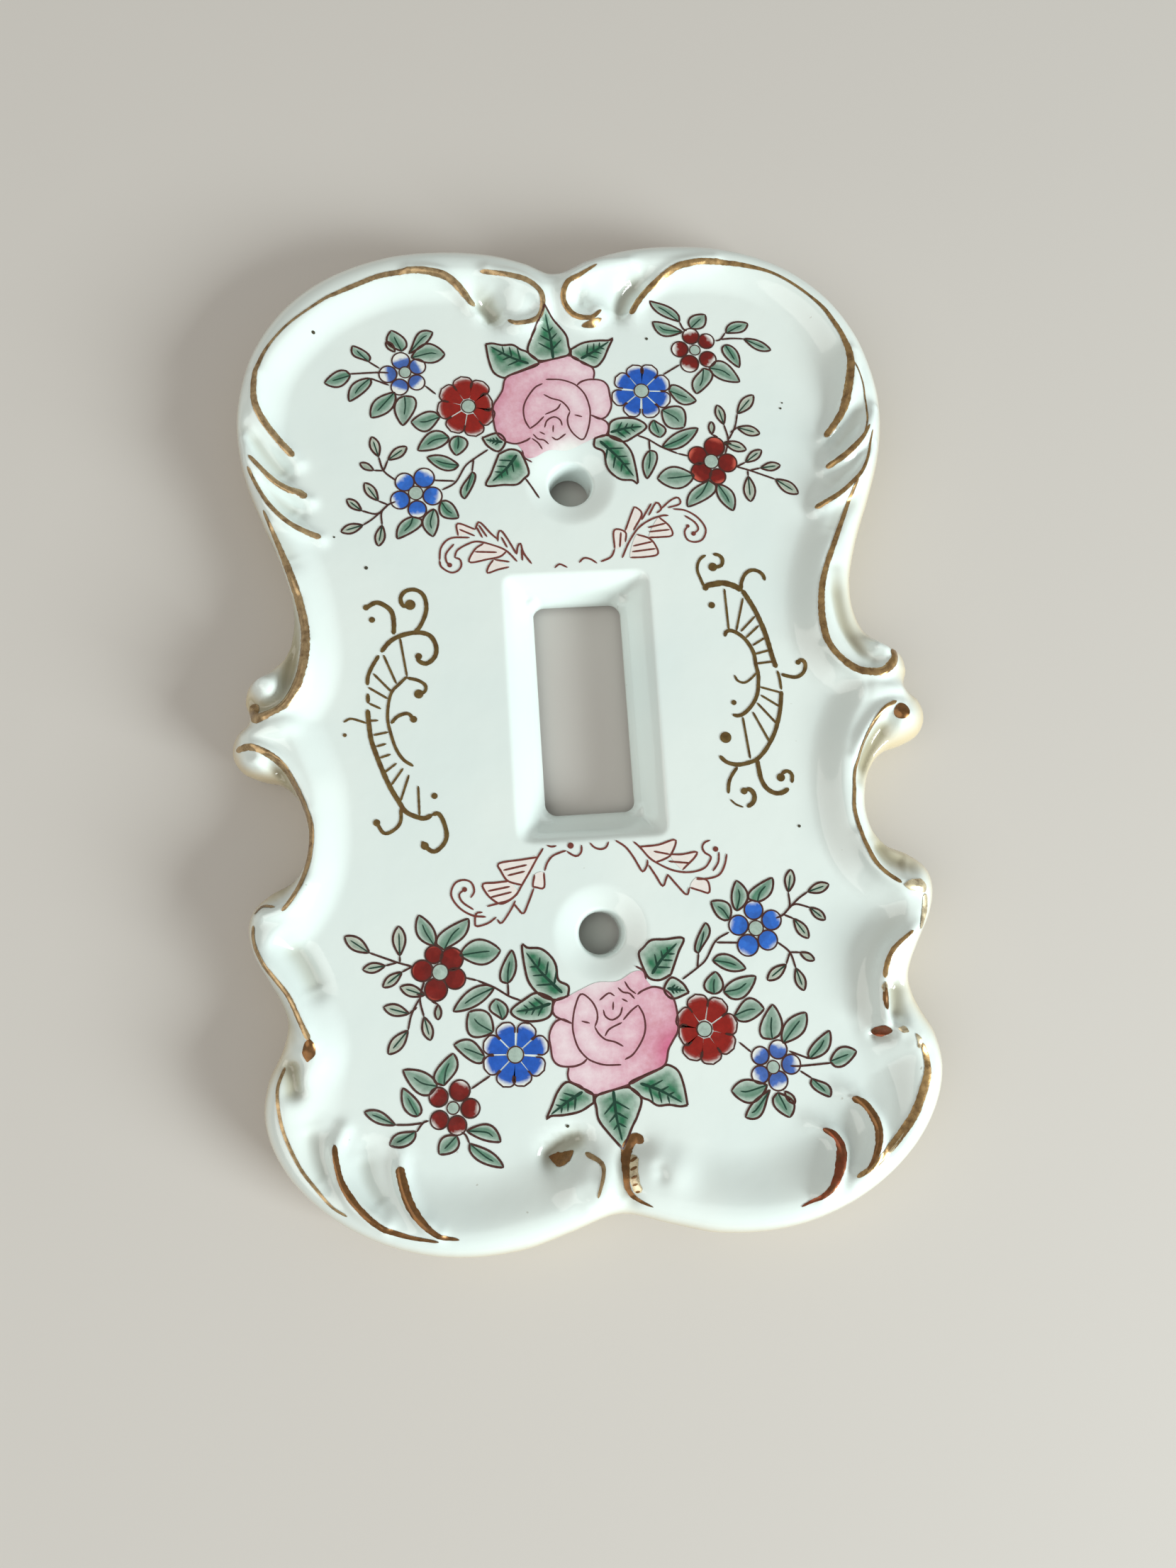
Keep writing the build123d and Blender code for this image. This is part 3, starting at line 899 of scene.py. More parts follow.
def long_petal(fills, lines, place, heart, tip, half_width, main, rim, rim_from):
    """A petal of a many-petalled flower: narrow at the heart, round at the tip."""
    heart, tip = np.asarray(heart), np.asarray(tip)
    out = tip - heart
    side = np.array([-out[1], out[0]]) / np.hypot(*out)
    share = np.linspace(0.26, 1, 12)
    across = np.linspace(-1, 1, 5)
    rounding = np.sqrt(np.clip(1 - ((share - 0.72) / 0.28).clip(0, 1) ** 2.4, 0, 1))
    half = half_width * np.clip(share / 0.74, 0, 1) ** 1.15 * np.maximum(rounding, 0.04)
    points = heart + out * share[:, None, None] + side * (half[:, None] * across)[:, :, None]
    paleness = ((share - rim_from) / 0.12)[:, None] + np.outer(share > 0.45, np.abs(across) ** 4 * 0.6)
    colours = blend(main, rim, paleness.ravel())
    fills.add(place(points.reshape(-1, 2)), strip_faces(len(share), len(across)), colours, FILL_LIFT)
    left_side, right_side = points[5:, 0], points[5:, -1]
    stroke(lines, place, np.vstack([left_side, right_side[::-1]]), 0.2, LINE, ends=1)


# ---- the flower spray, drawn for the top ------------------------------------------
LEAVES = [  # base, tip, a point on each side
    ((-22.9, 43.8), (-26.2, 40.2), (-25.6, 42.6), (-23.5, 41.3)),
    ((-21.6, 43.2), (-22, 38.9), (-23, 41.6), (-20.1, 42)),
    ((-28.7, 46.4), (-32.2, 45.4), (-30.2, 47.1), (-30.2, 44.8)),
    ((-26.1, 45.9), (-29, 42.6), (-28.5, 45), (-26.5, 44.4)),
    ((-26.2, 48.3), (-28.3, 50.7), (-28.2, 49.3), (-26.3, 49.5)),
    ((-21.7, 49.7), (-23, 52.8), (-23.6, 51), (-21.1, 51.2)),
    ((-20.8, 49.3), (-17.4, 52.4), (-19.3, 52.3), (-18.5, 50.7)),
    ((-20.5, 48.7), (-15.9, 49.1), (-18.3, 50.7), (-17.7, 47.9)),
    ((-17, 40), (-20.9, 39.4), (-18.6, 40.8), (-19, 38)),
    ((-15.9, 37), (-20.2, 35.3), (-18.2, 37.9), (-17.4, 35.6)),
    ((-14.7, 37.2), (-15.1, 34.4), (-15.9, 36.2), (-13.5, 36)),
    ((-14.8, 33), (-19, 34.3), (-16.8, 34.4), (-16.8, 32.4)),
    ((-13.1, 32), (-14.3, 28.2), (-14.7, 29.6), (-12.8, 30.8)),
    ((-21.2, 26), (-23.4, 23), (-23, 25), (-20.2, 24.8)),
    ((-18.4, 27), (-18.7, 23.1), (-20, 25.2), (-17.9, 25.2)),
    ((-17.4, 28), (-15.2, 25.6), (-16, 27.6), (-17.4, 26)),
    ((14.4, 42.8), (18.1, 41.2), (15.6, 43.5), (16, 40.8)),
    ((13.2, 40), (16.1, 37.4), (16, 40.2), (13.8, 37.6)),
    ((12, 38.6), (12.7, 36), (11.3, 37.2), (13.5, 37.2)),
    ((12.8, 34.6), (18, 37.2), (15, 36.6), (15.6, 34.6)),
    ((16.7, 53), (12.7, 56.1), (15.8, 55), (14, 54.3)),
    ((17, 51.5), (12.9, 53.1), (15, 52.7), (14.2, 51)),
    ((18.2, 52), (20.4, 54), (18.3, 53.6), (20, 52.2)),
    ((23.1, 51.1), (26.3, 52.5), (24, 52.6), (25.4, 51.3)),
    ((25.5, 50.2), (29.2, 48.4), (27.7, 49.8), (27.3, 48.5)),
    ((22.8, 49.4), (24.5, 45.9), (22.5, 48), (24.4, 48.3)),
    ((20.3, 46), (24.4, 43.8), (22.4, 46.8), (21.7, 44.3)),
    ((19.5, 46), (18.2, 42.2), (17.8, 44), (20.6, 44.6)),
    ((16.9, 30.4), (11.8, 30.1), (14, 31.7), (14.6, 28.6)),
    ((18.8, 29.6), (15.6, 25.9), (16.2, 28), (19.4, 27.8)),
    ((20, 29), (21.8, 25.1), (20, 27), (22, 27.6)),
    ((11.1, 34.2), (10.4, 30.1), (10, 32.4), (12, 33)),
]
BUDS = [  # base, tip
    ((-22.6, 49.6), (-23.8, 51.2)), ((-25.4, 34.6), (-26.2, 37.5)), ((-24.2, 34.1), (-21.6, 35.9)),
    ((-26.1, 32.7), (-27.9, 33.8)), ((-25.7, 28.4), (-27.4, 31)), ((-27.9, 27.1), (-29.8, 28.8)),
    ((-27.8, 25.1), (-30.7, 24.3)), ((-25.3, 25), (-25.9, 22.1)), ((19.8, 36.2), (19.9, 38.1)),
    ((21.6, 37.6), (20.9, 40.5)), ((23.6, 39.1), (26.1, 41.8)), ((23.4, 37.1), (26.5, 36.1)),
    ((21.4, 35), (24.4, 33.8)), ((24.1, 32), (26.5, 33.7)), ((26.1, 31.1), (28.9, 31.4)),
    ((28, 29.4), (31, 27.2)), ((24.3, 30), (24.3, 26.3)),
]
STEMS = [
    [(-23.6, 46.6), (-25, 46.7), (-28.8, 46.6)], [(-24.8, 47.3), (-26.2, 48.3)],
    [(-23.6, 44.8), (-26.1, 45.9)], [(-18.8, 44.6), (-17.4, 43.3)],
    [(-10.8, 35.1), (-12.8, 33.8), (-14, 32.8), (-15.4, 30.6), (-17.2, 29.6)],
    [(-18.3, 31), (-15.5, 30.8)], [(-12.8, 33.8), (-13.1, 32)],
    [(-23.3, 31.2), (-24.8, 32.6), (-25.4, 34.6)], [(-24.8, 32.6), (-24.2, 34.1)],
    [(-24.8, 32.6), (-26.1, 32.7)], [(-23.4, 28.2), (-24.4, 27.8), (-25.9, 26.6), (-27.9, 27.1)],
    [(-24.4, 27.8), (-25.7, 28.4)], [(-24.4, 27.8), (-26.4, 26), (-27.8, 25.1)],
    [(-24.4, 27.8), (-25.3, 26.8), (-25.3, 25)], [(13.8, 45.2), (16.2, 46.6)],
    [(17.6, 51.6), (17.1, 52), (16.7, 53)], [(21.5, 50), (22.2, 50.2), (23, 51.2)],
    [(22.2, 50.2), (23.8, 50.3), (25.5, 50.2)], [(21.4, 33.2), (22, 35.4), (21.6, 37.6)],
    [(22.1, 35.4), (23.1, 37.2), (23.6, 39.1)], [(20.6, 35.8), (19.8, 36.2)],
    [(22.4, 34.8), (21.4, 35)], [(22.4, 36.4), (23.4, 37.1)],
    [(22.8, 31.4), (24.6, 30.8), (28, 29.4)], [(22.8, 31.4), (24.1, 32)],
    [(24.6, 30.8), (26.1, 31.1)], [(24.3, 30.8), (24.3, 30)], [(14.9, 33.6), (16.3, 33.2)],
    [(9.6, 36.4), (11, 35.8), (12.8, 34.6), (14.9, 33.6)], [(11.1, 35.8), (11.1, 34.2)],
]
LOOSE_STEM = [(-6, 30.8), (-5.2, 29.6), (-4.3, 28.1)]      # only the upper spray has this one
# Round-petalled flowers: heart, its radius, main colour, rim colour, where the rim starts,
# and the petals as (x, y, radius).
ROUND_FLOWERS = [
    ((-21.4, 46.6), 0.8, PALE_BLUE, WHITE, 0.0,
     [(-21.9, 48.3, 1.2), (-19.7, 47.4, 1.1), (-19.9, 45.1, 1.1), (-22.2, 44.5, 1.15),
      (-23.7, 46.4, 1.2)]),
    ((-20.7, 29.3), 0.95, BLUE, WHITE, 0.35,
     [(-22.1, 30.9, 1.25), (-19.5, 31.4, 1.35), (-18.5, 28.8, 1.25), (-20.6, 27, 1.2),
      (-22.8, 28.4, 1.25)]),
    ((18.5, 48.7), 0.75, DARK_RED, WHITE, 0.3,
     [(18.1, 50.8, 1.15), (20.2, 50, 1.1), (20.2, 47.3, 1.15), (17.6, 46.7, 1.25),
      (16.4, 48.9, 1.15)]),
    ((19.4, 32.3), 1.0, DARK_RED, CORAL, 0.5,
     [(20, 34.4, 1.4), (17.6, 33.2, 1.3), (17.9, 30.8, 1.4), (20.1, 30.1, 1.1), (21.6, 32, 1.3)]),
]
# Eight-petalled flowers: heart, its radius, main and rim colours, half width of a petal,
# where its rim starts, petal tips.
LONG_FLOWERS = [
    ((-13.1, 41.4), 0.95, RED, WHITE, 1.34, 0.86,
     [(-13.9, 45.7), (-10.9, 44.9), (-9.9, 42.1), (-9.9, 39.3), (-12.3, 37.1), (-15.6, 37.9),
      (-17.3, 40.9), (-16.6, 44)]),
    ((10.6, 42.9), 1.0, COBALT, WHITE, 1.2, 0.8,
     [(9.7, 46.7), (12.3, 46.6), (14.5, 44.3), (14.4, 41.1), (12, 39), (8.6, 39.3), (6.5, 41.7),
      (7.2, 45)]),
]
# Leaves round the rose: outline, then midrib from base to tip.
ROSE_LEAVES = [
    ([(-10.3, 50.4), (-9.4, 50.5), (-8, 50.2), (-6.6, 50.2), (-5.6, 49.5), (-4.6, 49), (-3.2, 47.4),
      (-5.4, 46.4), (-7.2, 45.8), (-8.1, 45.4), (-9.4, 46.2), (-10, 48)],
     [(-4.6, 47.4), (-7, 48.4), (-9.6, 50)]),
    ([(-2, 55.1), (-3.2, 52.6), (-4, 51.2), (-4.6, 49.2), (-3.2, 47.8), (-1, 48), (1, 48.6),
      (1, 50), (0.8, 51.4), (-0.2, 52.9)], [(-1.2, 48), (-1.4, 51.2), (-1.9, 54)]),
    ([(1.3, 49.3), (3, 50.2), (5, 50.5), (6.6, 50.5), (7.2, 50.8), (6.5, 49.4), (5.6, 47.6),
      (4.4, 46.6), (2.8, 47.4), (1.4, 48.2)], [(2.6, 47.9), (4.6, 49), (6.6, 50.3)]),
    ([(-9.4, 34.4), (-8, 35), (-6.8, 34.8), (-6.2, 34), (-5.5, 31.7), (-6.2, 30.8), (-7.2, 30),
      (-9, 30), (-11.3, 30), (-10.6, 31.6), (-10, 33)], [(-7, 34.2), (-8.4, 32.4), (-10.4, 30.6)]),
    ([(-11.5, 36.8), (-9.4, 37.4), (-8.4, 36.2), (-9.4, 34.8), (-10.8, 35.6)],
     [(-8.8, 36.1), (-11, 36.5)]),
    ([(5.6, 36.8), (6, 38.4), (7.4, 39), (9.6, 38.8), (10.9, 37.6), (9, 36.2), (7.6, 35.6),
      (6, 36.2)], [(5.9, 37), (8, 37.5), (10.2, 37.7)]),
    ([(3.7, 36.2), (5.2, 36.6), (7, 36), (8.4, 34.4), (8.9, 32.4), (9.1, 29.6), (8.4, 30),
      (6.8, 30.2), (5.6, 31.2), (5, 32.4), (4.8, 34.2), (3.6, 35)],
     [(4.4, 35.8), (6.8, 33.2), (8.6, 30.6)]),
]
ROSE = [
    (-3.4, 47.4), (-1, 48), (0.8, 48.4), (2, 48), (2.8, 47.2), (4, 46.6), (4.3, 45.8), (4.1, 44.8),
    (5.2, 44.6), (6, 43.8), (6.2, 42.4), (6.3, 40.8), (5.6, 39.4), (5.3, 38.7), (5.7, 37.6),
    (5.2, 36.6), (3.8, 36.3), (2.2, 35.6), (0, 34.8), (-2.6, 34.8), (-4.6, 33.8), (-5.8, 33.8),
    (-6.2, 34.8), (-7, 35.8), (-8.4, 36.2), (-9.4, 37.2), (-9.8, 38.8), (-9.8, 41.2), (-9, 42.6),
    (-8.4, 43.6), (-8, 45.1), (-7.2, 45.8), (-5.2, 46.6),
]
ROSE_EDGE = [
    [(-3.4, 47.4), (-1, 48), (0.8, 48.4), (2, 48), (2.8, 47.2), (4, 46.6), (4.3, 45.8),
     (4.1, 44.8)],
    [(1.8, 44), (2.4, 44.5), (3.6, 44.8), (5.2, 44.6), (6, 43.8), (6.2, 42.4), (6.3, 40.8),
     (5.6, 39.4), (4.6, 39), (3.6, 39.5)],
    [(3.4, 39.6), (5.4, 38.6), (5.7, 37.6), (5.2, 36.6), (3.8, 36.3)],
    [(-3.4, 47.4), (-5.2, 46.6), (-7.2, 45.8), (-8, 45.1), (-8.4, 43.6), (-9, 42.6), (-9.8, 41.2),
     (-9.8, 38.8), (-9.4, 37.2), (-8.4, 36.2), (-7, 35.8), (-5.6, 36.2), (-5, 36.6)],
    [(-6.2, 34.8), (-6, 33.8), (-5, 33.1)],
]
ROSE_FOLDS = [
    [(-5, 37.9), (-5.6, 39.2), (-5.7, 40.8), (-5.2, 42.2), (-4, 43.8), (-2.9, 44.4)],
    [(-2.4, 45), (-0.5, 44.9), (0.8, 44.5), (1.8, 43.9), (2.8, 42.6), (3.3, 40.8), (3.3, 39.4),
     (2.9, 37.6), (2.1, 36.1), (1, 36.8), (0.3, 38), (0.2, 39.2), (0.6, 40.2)],
    [(-2.8, 42.8), (-1.8, 42.2), (-0.6, 41.8), (0.2, 41), (0.6, 40.2)],
    [(-0.6, 41.4), (-1.2, 40.6), (-2.8, 39.9)], [(1.2, 39.7), (2.2, 39.4)],
    [(-5, 37.9), (-4, 38.6), (-3, 39.6)],
    [(-3, 38), (-2.6, 39), (-1.6, 39.5), (-0.8, 39), (-0.6, 38.2)], [(-1.8, 38.3), (-1.9, 37.3)],
    [(-3.7, 37.4), (-3, 37)], [(-2.1, 36.6), (-1.4, 36.2), (-0.2, 37)],
    [(-4.6, 37.1), (-4, 36.4), (-3.2, 36.2), (-2.6, 35.6)],
    [(-4.8, 36.5), (-4, 35.8), (-3.5, 34.9)],
]


FOLD_SHADE = np.array([0.5, 1.3, 1.0])       # how strongly a fold darkens red, green and blue


def rose_tint(points, glare_fade, rosy_tip):
    """Deep pink at the upper left, paling to the right, darker along the petal folds.

    Its second argument paints a glare, fading it to white near the screw hole, and rosy_tip deepens it
    on the far side.
    """
    x, y = points.T
    across = (x + 9.4) * 0.085 + (46 - y) * 0.022
    colours = np.where((across < 0.5)[:, None], blend(PINK_DEEP, PINK, across * 2),
                       blend(PINK, PINK_PALE, across * 2 - 1))
    gap = np.full(len(points), 9.0)
    for knots in ROSE_FOLDS + ROSE_EDGE:
        gap = np.minimum(gap, path_distance(points, smooth_path(knots, 0.5))[0])
    shade = 1 - 0.2 * np.exp(-(gap / 0.8) ** 2) - 0.06 * mottle(points)
    colours = colours * shade[:, None] ** FOLD_SHADE
    rosy = rosy_tip * np.exp(-((x + 8.6) / 2.6) ** 2 - ((y - 43.4) / 2.8) ** 2)[:, None]
    colours = colours * (1 - rosy) + np.asarray(PINK_RICH) * rosy
    # painted glare: the pink fades to white near the screw hole
    glare_share = glare_fade * np.exp(-((x - 0.4) / 3.2) ** 2 - ((y - 34.6) / 2.0) ** 2)
    return blend([0, 0, 0], WHITE, glare_share) + colours * (1 - glare_share)[:, None]


def mottle(points):
    """Uneven watercolour depth, from 0 to 1, smooth over about a millimetre."""
    x, y = points.T
    waves = np.sin(x * 2.3 + y * 1.1) + np.sin(y * 3.1 - x * 1.7 + 1.3)
    waves = waves + np.sin(x * 4.7 + 2.1) * np.sin(y * 4.1)
    return np.clip(0.5 + waves / 4.5, 0, 1)


def rose_leaf_tint(outline, midrib):
    """A tint that is dark along the midrib and pale at the leaf's edge."""
    rib = smooth_path(midrib, 0.4)
    edge = smooth_path(outline, 0.5, closed=True)

    def tint(points):
        inward = (path_distance(points, edge)[0] - 0.15) / 0.75
        by_rib = 1.15 - path_distance(points, rib)[0] / 4
        depth = np.clip(inward, 0, 1) * np.clip(by_rib, 0, 1) * (0.62 + 0.5 * mottle(points))
        return blend(LEAF_EDGE, LEAF_HEART * np.array([0.8, 0.95, 0.85]), depth)

    return tint


def paint_rose_leaf(fills, lines, place, outline, midrib):
    """One of the large leaves round the rose, with a midrib and three pairs of side veins."""
    filled(fills, place, outline, rose_leaf_tint(outline, midrib), spacing=0.3)
    stroke(lines, place, outline + outline[:1], 0.29, LINE, ends=1)
    stroke(lines, place, midrib, [0.42, 0.2], VEIN)
    (x0, y0), (x1, y1) = midrib[0], midrib[-1]
    length = math.hypot(x1 - x0, y1 - y0)
    ahead = ((x1 - x0) / length, (y1 - y0) / length)
    for share in (0.22, 0.45, 0.66):
        root = between(midrib[0], midrib[-1], share)
        reach = 0.3 * length * (1.1 - share)
        for side in (-1, 1):
            end = (root[0] + (ahead[0] * 0.8 - ahead[1] * side) * reach,
                   root[1] + (ahead[1] * 0.8 + ahead[0] * side) * reach)
            stroke(lines, place, [root, between(root, end, 0.5), end], [0.3, 0.14], VEIN)


def flower_heart(petals, lines, place, heart, radius):
    dot(petals, place, heart, radius, DISC, DISC_LIFT)
    ring = [(heart[0] + radius * math.cos(angle), heart[1] + radius * math.sin(angle))
            for angle in np.linspace(0, 2 * math.pi, 12)]
    stroke(lines, place, ring, 0.16, LINE, RING_LIFT, ends=1)


def paint_spray(name, place, glare_fade, rosy_tip, rim_shift, enamel):
    """One spray: rose, leaves, two eight-petalled and four round-petalled flowers.

    rim_shift moves the pale rims of the round petals outward, so the flowers look fuller.
    """
    greens, petals, rose, lines = Layer(), Layer(), Layer(), Layer()
    for base, tip, left, right in LEAVES:
        leaf(greens, lines, place, base, tip, left, right)
    for base, tip in BUDS:
        bud(greens, lines, place, base, tip)
    for outline, midrib in ROSE_LEAVES:
        paint_rose_leaf(greens, lines, place, outline, midrib)
    filled(rose, place, ROSE, lambda points: rose_tint(points, glare_fade, rosy_tip),
           FILL_LIFT + 0.008, spacing=0.35)
    for knots in ROSE_EDGE:
        stroke(lines, place, knots, 0.25, ROSE_LINE)
    for knots in ROSE_FOLDS:
        stroke(lines, place, knots, 0.22, ROSE_LINE)
    for knots in STEMS:
        stroke(lines, place, knots, 0.25, LINE)
    for heart, radius, main, rim, rim_from, rounds in ROUND_FLOWERS:
        for x, y, size in rounds:
            round_petal(petals, lines, place, (x, y), size, heart, main, rim, rim_from + rim_shift)
        flower_heart(petals, lines, place, heart, radius)
    for heart, radius, main, rim, half_width, rim_from, tips in LONG_FLOWERS:
        for tip in tips:
            long_petal(petals, lines, place, heart, tip, half_width, main, rim, rim_from)
        flower_heart(petals, lines, place, heart, radius)
    for part, layer in (("leaves", greens), ("petals", petals), ("rose", rose), ("outlines", lines)):
        layer.make(f"{name}_{part}", "painted_enamel", enamel)


# ---- garlands and side scrolls ----------------------------------------------------
TOP_GARLAND = [
    [(-18, 19.8), (-17.7, 21.6), (-16.4, 22.8), (-13.9, 22.8)],
    [(-16, 22), (-17.1, 20.7), (-17.1, 19.6), (-16.7, 19.1)],
    [(-16, 20.1), (-15.3, 19.8), (-15.2, 18.9), (-15.8, 18.2), (-16.7, 18.1), (-17.8, 18.9),
     (-18, 19.8)],
    [(-16, 20.1), (-15.6, 21.1), (-14.2, 21.9), (-12.9, 22.2), (-11.1, 21.7), (-9.2, 20.8),
     (-7.8, 19.2)],
    [(-15.2, 24), (-13.2, 23)], [(-13.1, 23.9), (-12.5, 24.9), (-11.1, 23.3), (-10.2, 22.4)],
    [(-12.9, 24.2), (-12.2, 22.7)], [(-12.6, 24.5), (-11.6, 22.8)],
    [(-10.2, 22.1), (-10.1, 23.2), (-9.7, 23.6), (-8.9, 22.4), (-7.8, 20.2)],
    [(-9.7, 22.7), (-9, 21.2)],
    [(-7.8, 20.2), (-7.6, 21.3), (-7.2, 21.7), (-6.9, 20.4), (-5.9, 18.8)],
    [(-7.1, 21), (-7.1, 19.3)], [(-13.3, 20.8), (-10.4, 20.6)], [(-10.8, 19.6), (-8.8, 19.2)],
    [(3.3, 18.7), (4.7, 19.3), (5.3, 20.4)], [(6, 20.6), (6.3, 22.7)], [(9.2, 24.3), (10.7, 26.6)],
    [(10.2, 24.9), (11.4, 26.7), (12, 25.8), (11.3, 25.2)],
    [(12, 25.8), (13.3, 26.9), (14.4, 27.3), (14.6, 26.4), (12.9, 25.9)],
    [(6.2, 19.1), (7.3, 21.3), (8.7, 23.2), (10.4, 24.3), (12, 24.8), (12.9, 24.8)],
    [(13.6, 25.7), (15.3, 25.4), (16.9, 24.3), (17.8, 22.7), (17.3, 21.3), (16.2, 20.9),
     (15.2, 21.3), (14.9, 22.4), (15.4, 23.2)],
    [(15.1, 24.7), (16.4, 23.7), (16.8, 22.7), (16.1, 22.1)], [(7.6, 19.9), (10.8, 20.2)],
    [(7.8, 20.7), (10.4, 21.2)], [(10, 23.2), (12.4, 23.7)], [(10.1, 22.6), (12.9, 22.8)],
    [(-2.9, 18.1), (-2.2, 18.6), (-1.2, 18.1)], [(0.4, 18.7), (1.1, 19.3), (2, 19.1), (2.8, 18.5)],
]
BOTTOM_GARLAND = [
    [(-6.7, -19), (-7.6, -20.3), (-8.6, -21.9), (-9.6, -23.4), (-10.4, -24.6), (-11.4, -25.3),
     (-12.7, -25.6), (-14.2, -25.9)],
    [(-11.9, -21.5), (-8.9, -21)], [(-11.4, -22.2), (-9.2, -21.8)], [(-14, -24), (-11.2, -23.6)],
    [(-13.7, -24.8), (-11, -24.3)],
    [(-3.8, -19.5), (-4.6, -19.7), (-5.6, -20.1), (-6.3, -20.9), (-6.7, -21.9)],
    [(-8.2, -24), (-9, -25.8), (-9.7, -27.1), (-10.3, -26.5), (-10.8, -25.8)],
    [(-10.6, -25.4), (-11.3, -26.6), (-12.5, -28.1), (-13, -27.6)],
    [(-13.1, -27.3), (-14.2, -28), (-15.6, -28.3), (-15.8, -27.8), (-15.6, -26.7), (-14.8, -26.6)],
    [(-14.4, -27.2), (-16.1, -26.9), (-17.7, -25.8), (-18.6, -24.2), (-18.1, -22.8), (-17, -22.4),
     (-16, -22.8), (-15.7, -23.9), (-16.2, -24.7)],
    [(-15.9, -26.2), (-17.2, -25.2), (-17.6, -24.2), (-16.9, -23.6)],
    [(2.6, -18.6), (3.8, -19.5), (4.7, -20.8), (5.3, -22), (5.8, -22.8), (6.4, -22), (6.5, -21.3)],
    [(4.9, -18.9), (5.7, -19.7), (6.8, -21.1), (8, -22), (9.5, -22.8), (11, -23.2), (12.5, -23.2),
     (13.8, -22.8), (14.5, -22), (14.7, -21.4), (14, -20.9), (13.7, -20.2), (14, -19.6),
     (14.8, -19.3)],
    [(7.4, -20.3), (9.4, -20.8)], [(9.2, -21.7), (12, -22.1)],
    [(6.6, -22), (7.4, -23.4), (8.2, -24.8), (8.7, -23.9), (9, -23.3)],
    [(9, -23.4), (10.2, -25), (11.2, -26.1), (11.6, -25.2)],
    [(12.6, -24.2), (14.2, -24.2), (15.6, -23.8), (16.4, -22.6), (16.8, -21.2)],
    [(14.8, -23.3), (15.6, -22.2), (15.8, -20.9)],
    [(-3.7, -19.6), (-3.2, -20), (-2.5, -20.3), (-1.9, -19.8), (-1.8, -18.9)],
    [(-0.7, -18.7), (-0.2, -19.3), (0.6, -19.6), (1.3, -19.4), (1.7, -18.7)],
    [(-6.2, -18.7), (-5.6, -18.9), (-5, -18.8)],
]
BOTTOM_GARLAND_LEAVES = [
    [(-7.4, -20.1), (-9.5, -20.3), (-12.4, -20.6), (-12.2, -21.6), (-11.5, -22.8), (-10.4, -23.3),
     (-9.6, -23.5)],
    [(-11.3, -22.9), (-13, -23), (-14.6, -23.1), (-14.1, -24.4), (-13.2, -25.3), (-12.4, -25.7),
     (-11.3, -25.3), (-10.2, -24.5)],
    [(-6.8, -22.1), (-6.9, -24), (-7.9, -23.9), (-8.3, -23.7), (-8, -22.3)],
    [(5.6, -19.6), (8, -19.5), (10.3, -19), (9.6, -20.8), (8.6, -21.4), (7.5, -21.7)],
    [(9.4, -20.8), (11, -20.9), (12.9, -20.7), (12.6, -21.4), (11.7, -22.2), (10.9, -22.9)],
    [(11.7, -25.2), (13, -25.7), (14.1, -26), (14, -24.5), (12.6, -24)],
]
BOTTOM_GARLAND_DOTS = [(-3.2, -18.9, 0.4), (-16.9, -23.6, 0.32), (15.4, -20.5, 0.35)]
TOP_GARLAND_LEAVES = [
    [(-12.1, 21.9), (-13.3, 21.1), (-14.1, 19.4), (-11.6, 19.7), (-10, 20), (-9.1, 20.7)],
    [(-10.9, 19.6), (-11.6, 18.7), (-11.8, 17.8), (-10.4, 18.2), (-8.9, 18.5)],
    [(-15.4, 23.1), (-15.4, 24.8), (-13.1, 23.9)],
    [(5.3, 20.4), (5.4, 23), (6.9, 22.7), (6.8, 21.3)],
    [(6.9, 22.9), (8.2, 25.9), (8.6, 26.1), (9.3, 25.1), (8, 22.9)],
    [(8.4, 22.3), (10, 21.7), (10.8, 20.7), (11, 19.4), (9.2, 19.1), (7.3, 19.1)],
    [(11.6, 24.6), (12.9, 23.3), (13.2, 22), (11.6, 21.8), (10, 21.8)],
]
TOP_GARLAND_DOTS = [(-16.7, 19.1, 0.32), (16.1, 22.1, 0.32), (15.4, 23.2, 0.25)]
